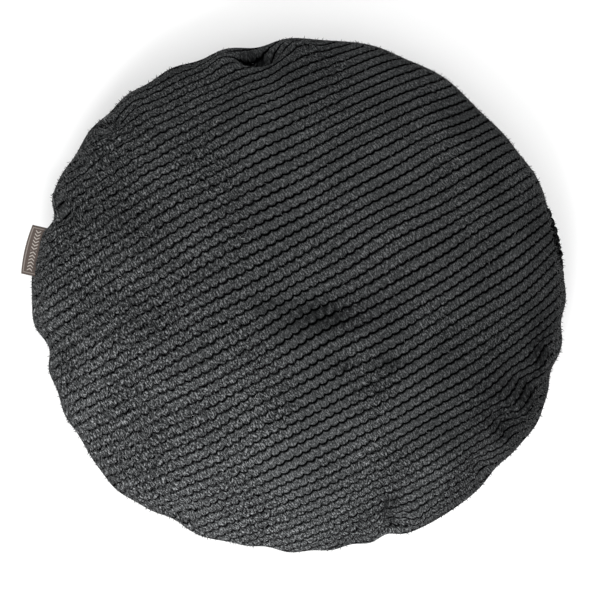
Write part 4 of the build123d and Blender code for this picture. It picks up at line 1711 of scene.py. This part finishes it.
@dataclass
class LoosePile:
    """Stray pile tips over the cover, thickest at its edge, and a few pale flecks of lint."""

    finishes: Finishes
    density: float = 230000.0
    length: float = 3.0 * MM
    width: float = 0.42 * MM
    edge_start: float = 237.0 * MM
    edge_width: float = 7.0 * MM
    inner_share: float = 0.02
    base_share: float = 0.12
    floor_gap: float = 4.0 * MM
    lean: float = 1.1
    lint_count: int = 9

    def build(self, cover: dict[str, bpy.types.Object]) -> None:
        """Builds the pile of each panel and the lint.

        Args:
            cover: The cover's pieces by name.
        """
        for number, (node, panel) in enumerate(cover.items()):
            share = 1.0 if node == "cover_top" else self.base_share
            piece = self._pile(f"pile_tips_{node}", panel, self.density * share, number + 5)
            finish_piece(piece, None)
        self._lint(cover["cover_top"])

    def _pile(self, name: str, panel: bpy.types.Object, density: float, seed: int) -> bpy.types.Object:
        """Short tapered fibres that stand on a panel's outer face."""
        sheet = ShapeSheet(name, {
            "Density": density, "Length": self.length, "Width": self.width, "Edge start": self.edge_start,
            "Seed": seed})
        x, y, z = sheet.split(sheet.add("GeometryNodeInputPosition").outputs[0])
        raised = sheet.add("FunctionNodeCompare", data_type="FLOAT", operation="GREATER_THAN")
        sheet.feed(raised.inputs[0], z)
        sheet.feed(raised.inputs[1], self.floor_gap)
        outer = sheet.add("GeometryNodeInputNamedAttribute", data_type="FLOAT", inputs={"Name": "outer"})
        flat = sheet.math("SQRT", sheet.plus(sheet.times(x, x), sheet.times(y, y)))
        edge = sheet.times(sheet.minus(flat, sheet.size("Edge start")), 1.0 / self.edge_width)
        edge = sheet.math("MINIMUM", sheet.math("MAXIMUM", edge, self.inner_share), 1.0)
        face_count = sheet.times(sheet.times(outer.outputs[0], edge), sheet.size("Density"))
        spots = sheet.add("GeometryNodeDistributePointsOnFaces", distribute_method="RANDOM", inputs={
            "Mesh": sheet.source.outputs[0], "Selection": raised.outputs[0], "Density": face_count,
            "Seed": sheet.size("Seed")})
        tip = sheet.add("GeometryNodeMeshCone", fill_type="NGON", inputs={
            "Vertices": 3, "Side Segments": 1, "Radius Top": 0.0, "Radius Bottom": sheet.size("Width"),
            "Depth": sheet.size("Length")})
        lean = sheet.add("FunctionNodeRandomValue", data_type="FLOAT_VECTOR")
        lean.inputs[0].default_value = (-self.lean,) * 3
        lean.inputs[1].default_value = (self.lean,) * 3
        leant = sheet.add("FunctionNodeRotateRotation", rotation_space="LOCAL", inputs={
            0: spots.outputs["Rotation"], 1: lean.outputs[0]})
        placed = sheet.add("GeometryNodeInstanceOnPoints", inputs={
            "Points": spots.outputs["Points"], "Instance": tip.outputs[0], "Rotation": leant.outputs[0],
            "Scale": sheet.random(0.45, 1.25, seed + 60)})
        return sheet.bake(name, panel, placed.outputs[0], self.finishes.pile)

    def _lint(self, panel: bpy.types.Object) -> None:
        """A few short curled hairs that lie on the top."""
        rng = np.random.default_rng(12)
        tree = BVHTree.FromObject(panel, bpy.context.evaluated_depsgraph_get())
        verts, faces = [], []
        spots = [(-0.147, 0.050), (-0.064, 0.047), (-0.155, 0.022)]
        spots += [tuple(rng.uniform(-0.17, 0.17, 2)) for _ in range(self.lint_count - len(spots))]
        for x, y in spots:
            hit, normal, _, _ = tree.ray_cast(Vector((x, y, 0.3)), Vector((0, 0, -1)))
            heading = rng.uniform(0.0, math.tau)
            reach = rng.uniform(1.0, 2.6) * MM
            base = len(verts)
            steps = 7
            for k in range(steps):
                t = k / (steps - 1) - 0.5
                bend = heading + t * rng.uniform(0.8, 1.6)
                centre = hit + normal * (0.5 + 0.5 * math.sin(math.pi * (t + 0.5))) * MM
                centre = centre + Vector((math.cos(bend), math.sin(bend), 0.0)) * t * 2.0 * reach
                for corner in range(3):
                    turn = math.tau * corner / 3.0
                    side = Vector((-math.sin(bend), math.cos(bend), 0.0)) * math.cos(turn)
                    ring = side + Vector((0.0, 0.0, math.sin(turn)))
                    verts.append(tuple(centre + ring * 0.11 * MM))
            for k in range(steps - 1):
                for corner in range(3):
                    a, b = base + k * 3 + corner, base + k * 3 + (corner + 1) % 3
                    faces.append((a, b, b + 3, a + 3))
            faces.append((base + 2, base + 1, base))
            end = base + 3 * (steps - 1)
            faces.append((end, end + 1, end + 2))
        piece = new_mesh_object("lint_flecks", np.array(verts), faces)
        finish_piece(piece, self.finishes.lint)


# ---- Studio ----


@dataclass
class Studio:
    """A plain pale floor, soft light from the front left, and a camera almost straight above."""

    elevation: float = 89.5
    side_lean: float = 6.0
    distance: float = 1.5
    aim: tuple[float, float, float] = (-0.0035, -0.0057, 0.07)
    lens_length: float = 96.3
    floor_half: float = 6.0
    floor_drop: float = 0.6 * MM
    sky: float = 1.30

    def build(self) -> None:
        """Sets up the floor, world, lights and camera."""
        floor = new_square("studio_floor", self.floor_half)
        floor.location.z = -self.floor_drop
        floor.data.materials.append(FloorFinish().make("studio_floor"))
        world = bpy.data.worlds.new("studio_light")
        world.use_nodes = True
        background = world.node_tree.nodes["Background"]
        background.inputs[0].default_value = (1.0, 1.0, 1.0, 1.0)
        background.inputs[1].default_value = self.sky
        scene = bpy.context.scene
        scene.world = world
        scene.view_settings.view_transform = "Standard"
        self._lamp("key", (-0.60, -1.40, 1.45), 0.8, 26.0)
        self._camera()

    def _lamp(self, name: str, place: tuple[float, float, float], size: float, watts: float) -> None:
        """One square soft light aimed at the cushion."""
        light = bpy.data.lights.new(name, "AREA")
        light.size = size
        light.energy = watts
        lamp = bpy.data.objects.new(name, light)
        bpy.context.scene.collection.objects.link(lamp)
        lamp.location = place
        lamp.rotation_euler = (Vector((0, 0, 0.05)) - Vector(place)).to_track_quat("-Z", "Y").to_euler()

    def _camera(self) -> None:
        """The camera, almost overhead, with the back of the cushion at the top."""
        lens = bpy.data.cameras.new("camera")
        lens.sensor_width = 36.0
        lens.lens = self.lens_length
        camera = bpy.data.objects.new("camera", lens)
        bpy.context.scene.collection.objects.link(camera)
        tilt, lean = math.radians(self.elevation), math.radians(self.side_lean)
        back = Vector((-math.sin(lean), -math.cos(tilt), math.sin(tilt))).normalized()
        right = Vector((0, 1, 0)).cross(back).normalized()
        up = back.cross(right)
        turn = Matrix((right, up, back)).transposed()
        camera.matrix_world = Matrix.Translation(Vector(self.aim) + back * self.distance) @ turn.to_4x4()
        lens.clip_start = 0.05
        bpy.context.scene.camera = camera


def main() -> None:
    """Builds the cushion piece by piece."""
    logging.basicConfig(level=logging.INFO, format="%(message)s")
    finishes = Finishes()
    sizes = CushionSizes()
    seam = SeamCurve(sizes)
    filled = FilledCover(sizes, seam)
    top, base = filled.solve()
    cover = Cover(sizes, PlushCord(), top, base, filled.wale_angle, finishes).build()
    InnerPad(sizes, top, base, finishes).build()
    Sewing(sizes, seam, base, finishes).build()
    Zip(finishes).build()
    SideLabel(finishes).build()
    paint_node("care_label", finishes.satin)
    LoosePile(finishes).build(cover)
    Studio().build()


if __name__ == "__main__":
    main()
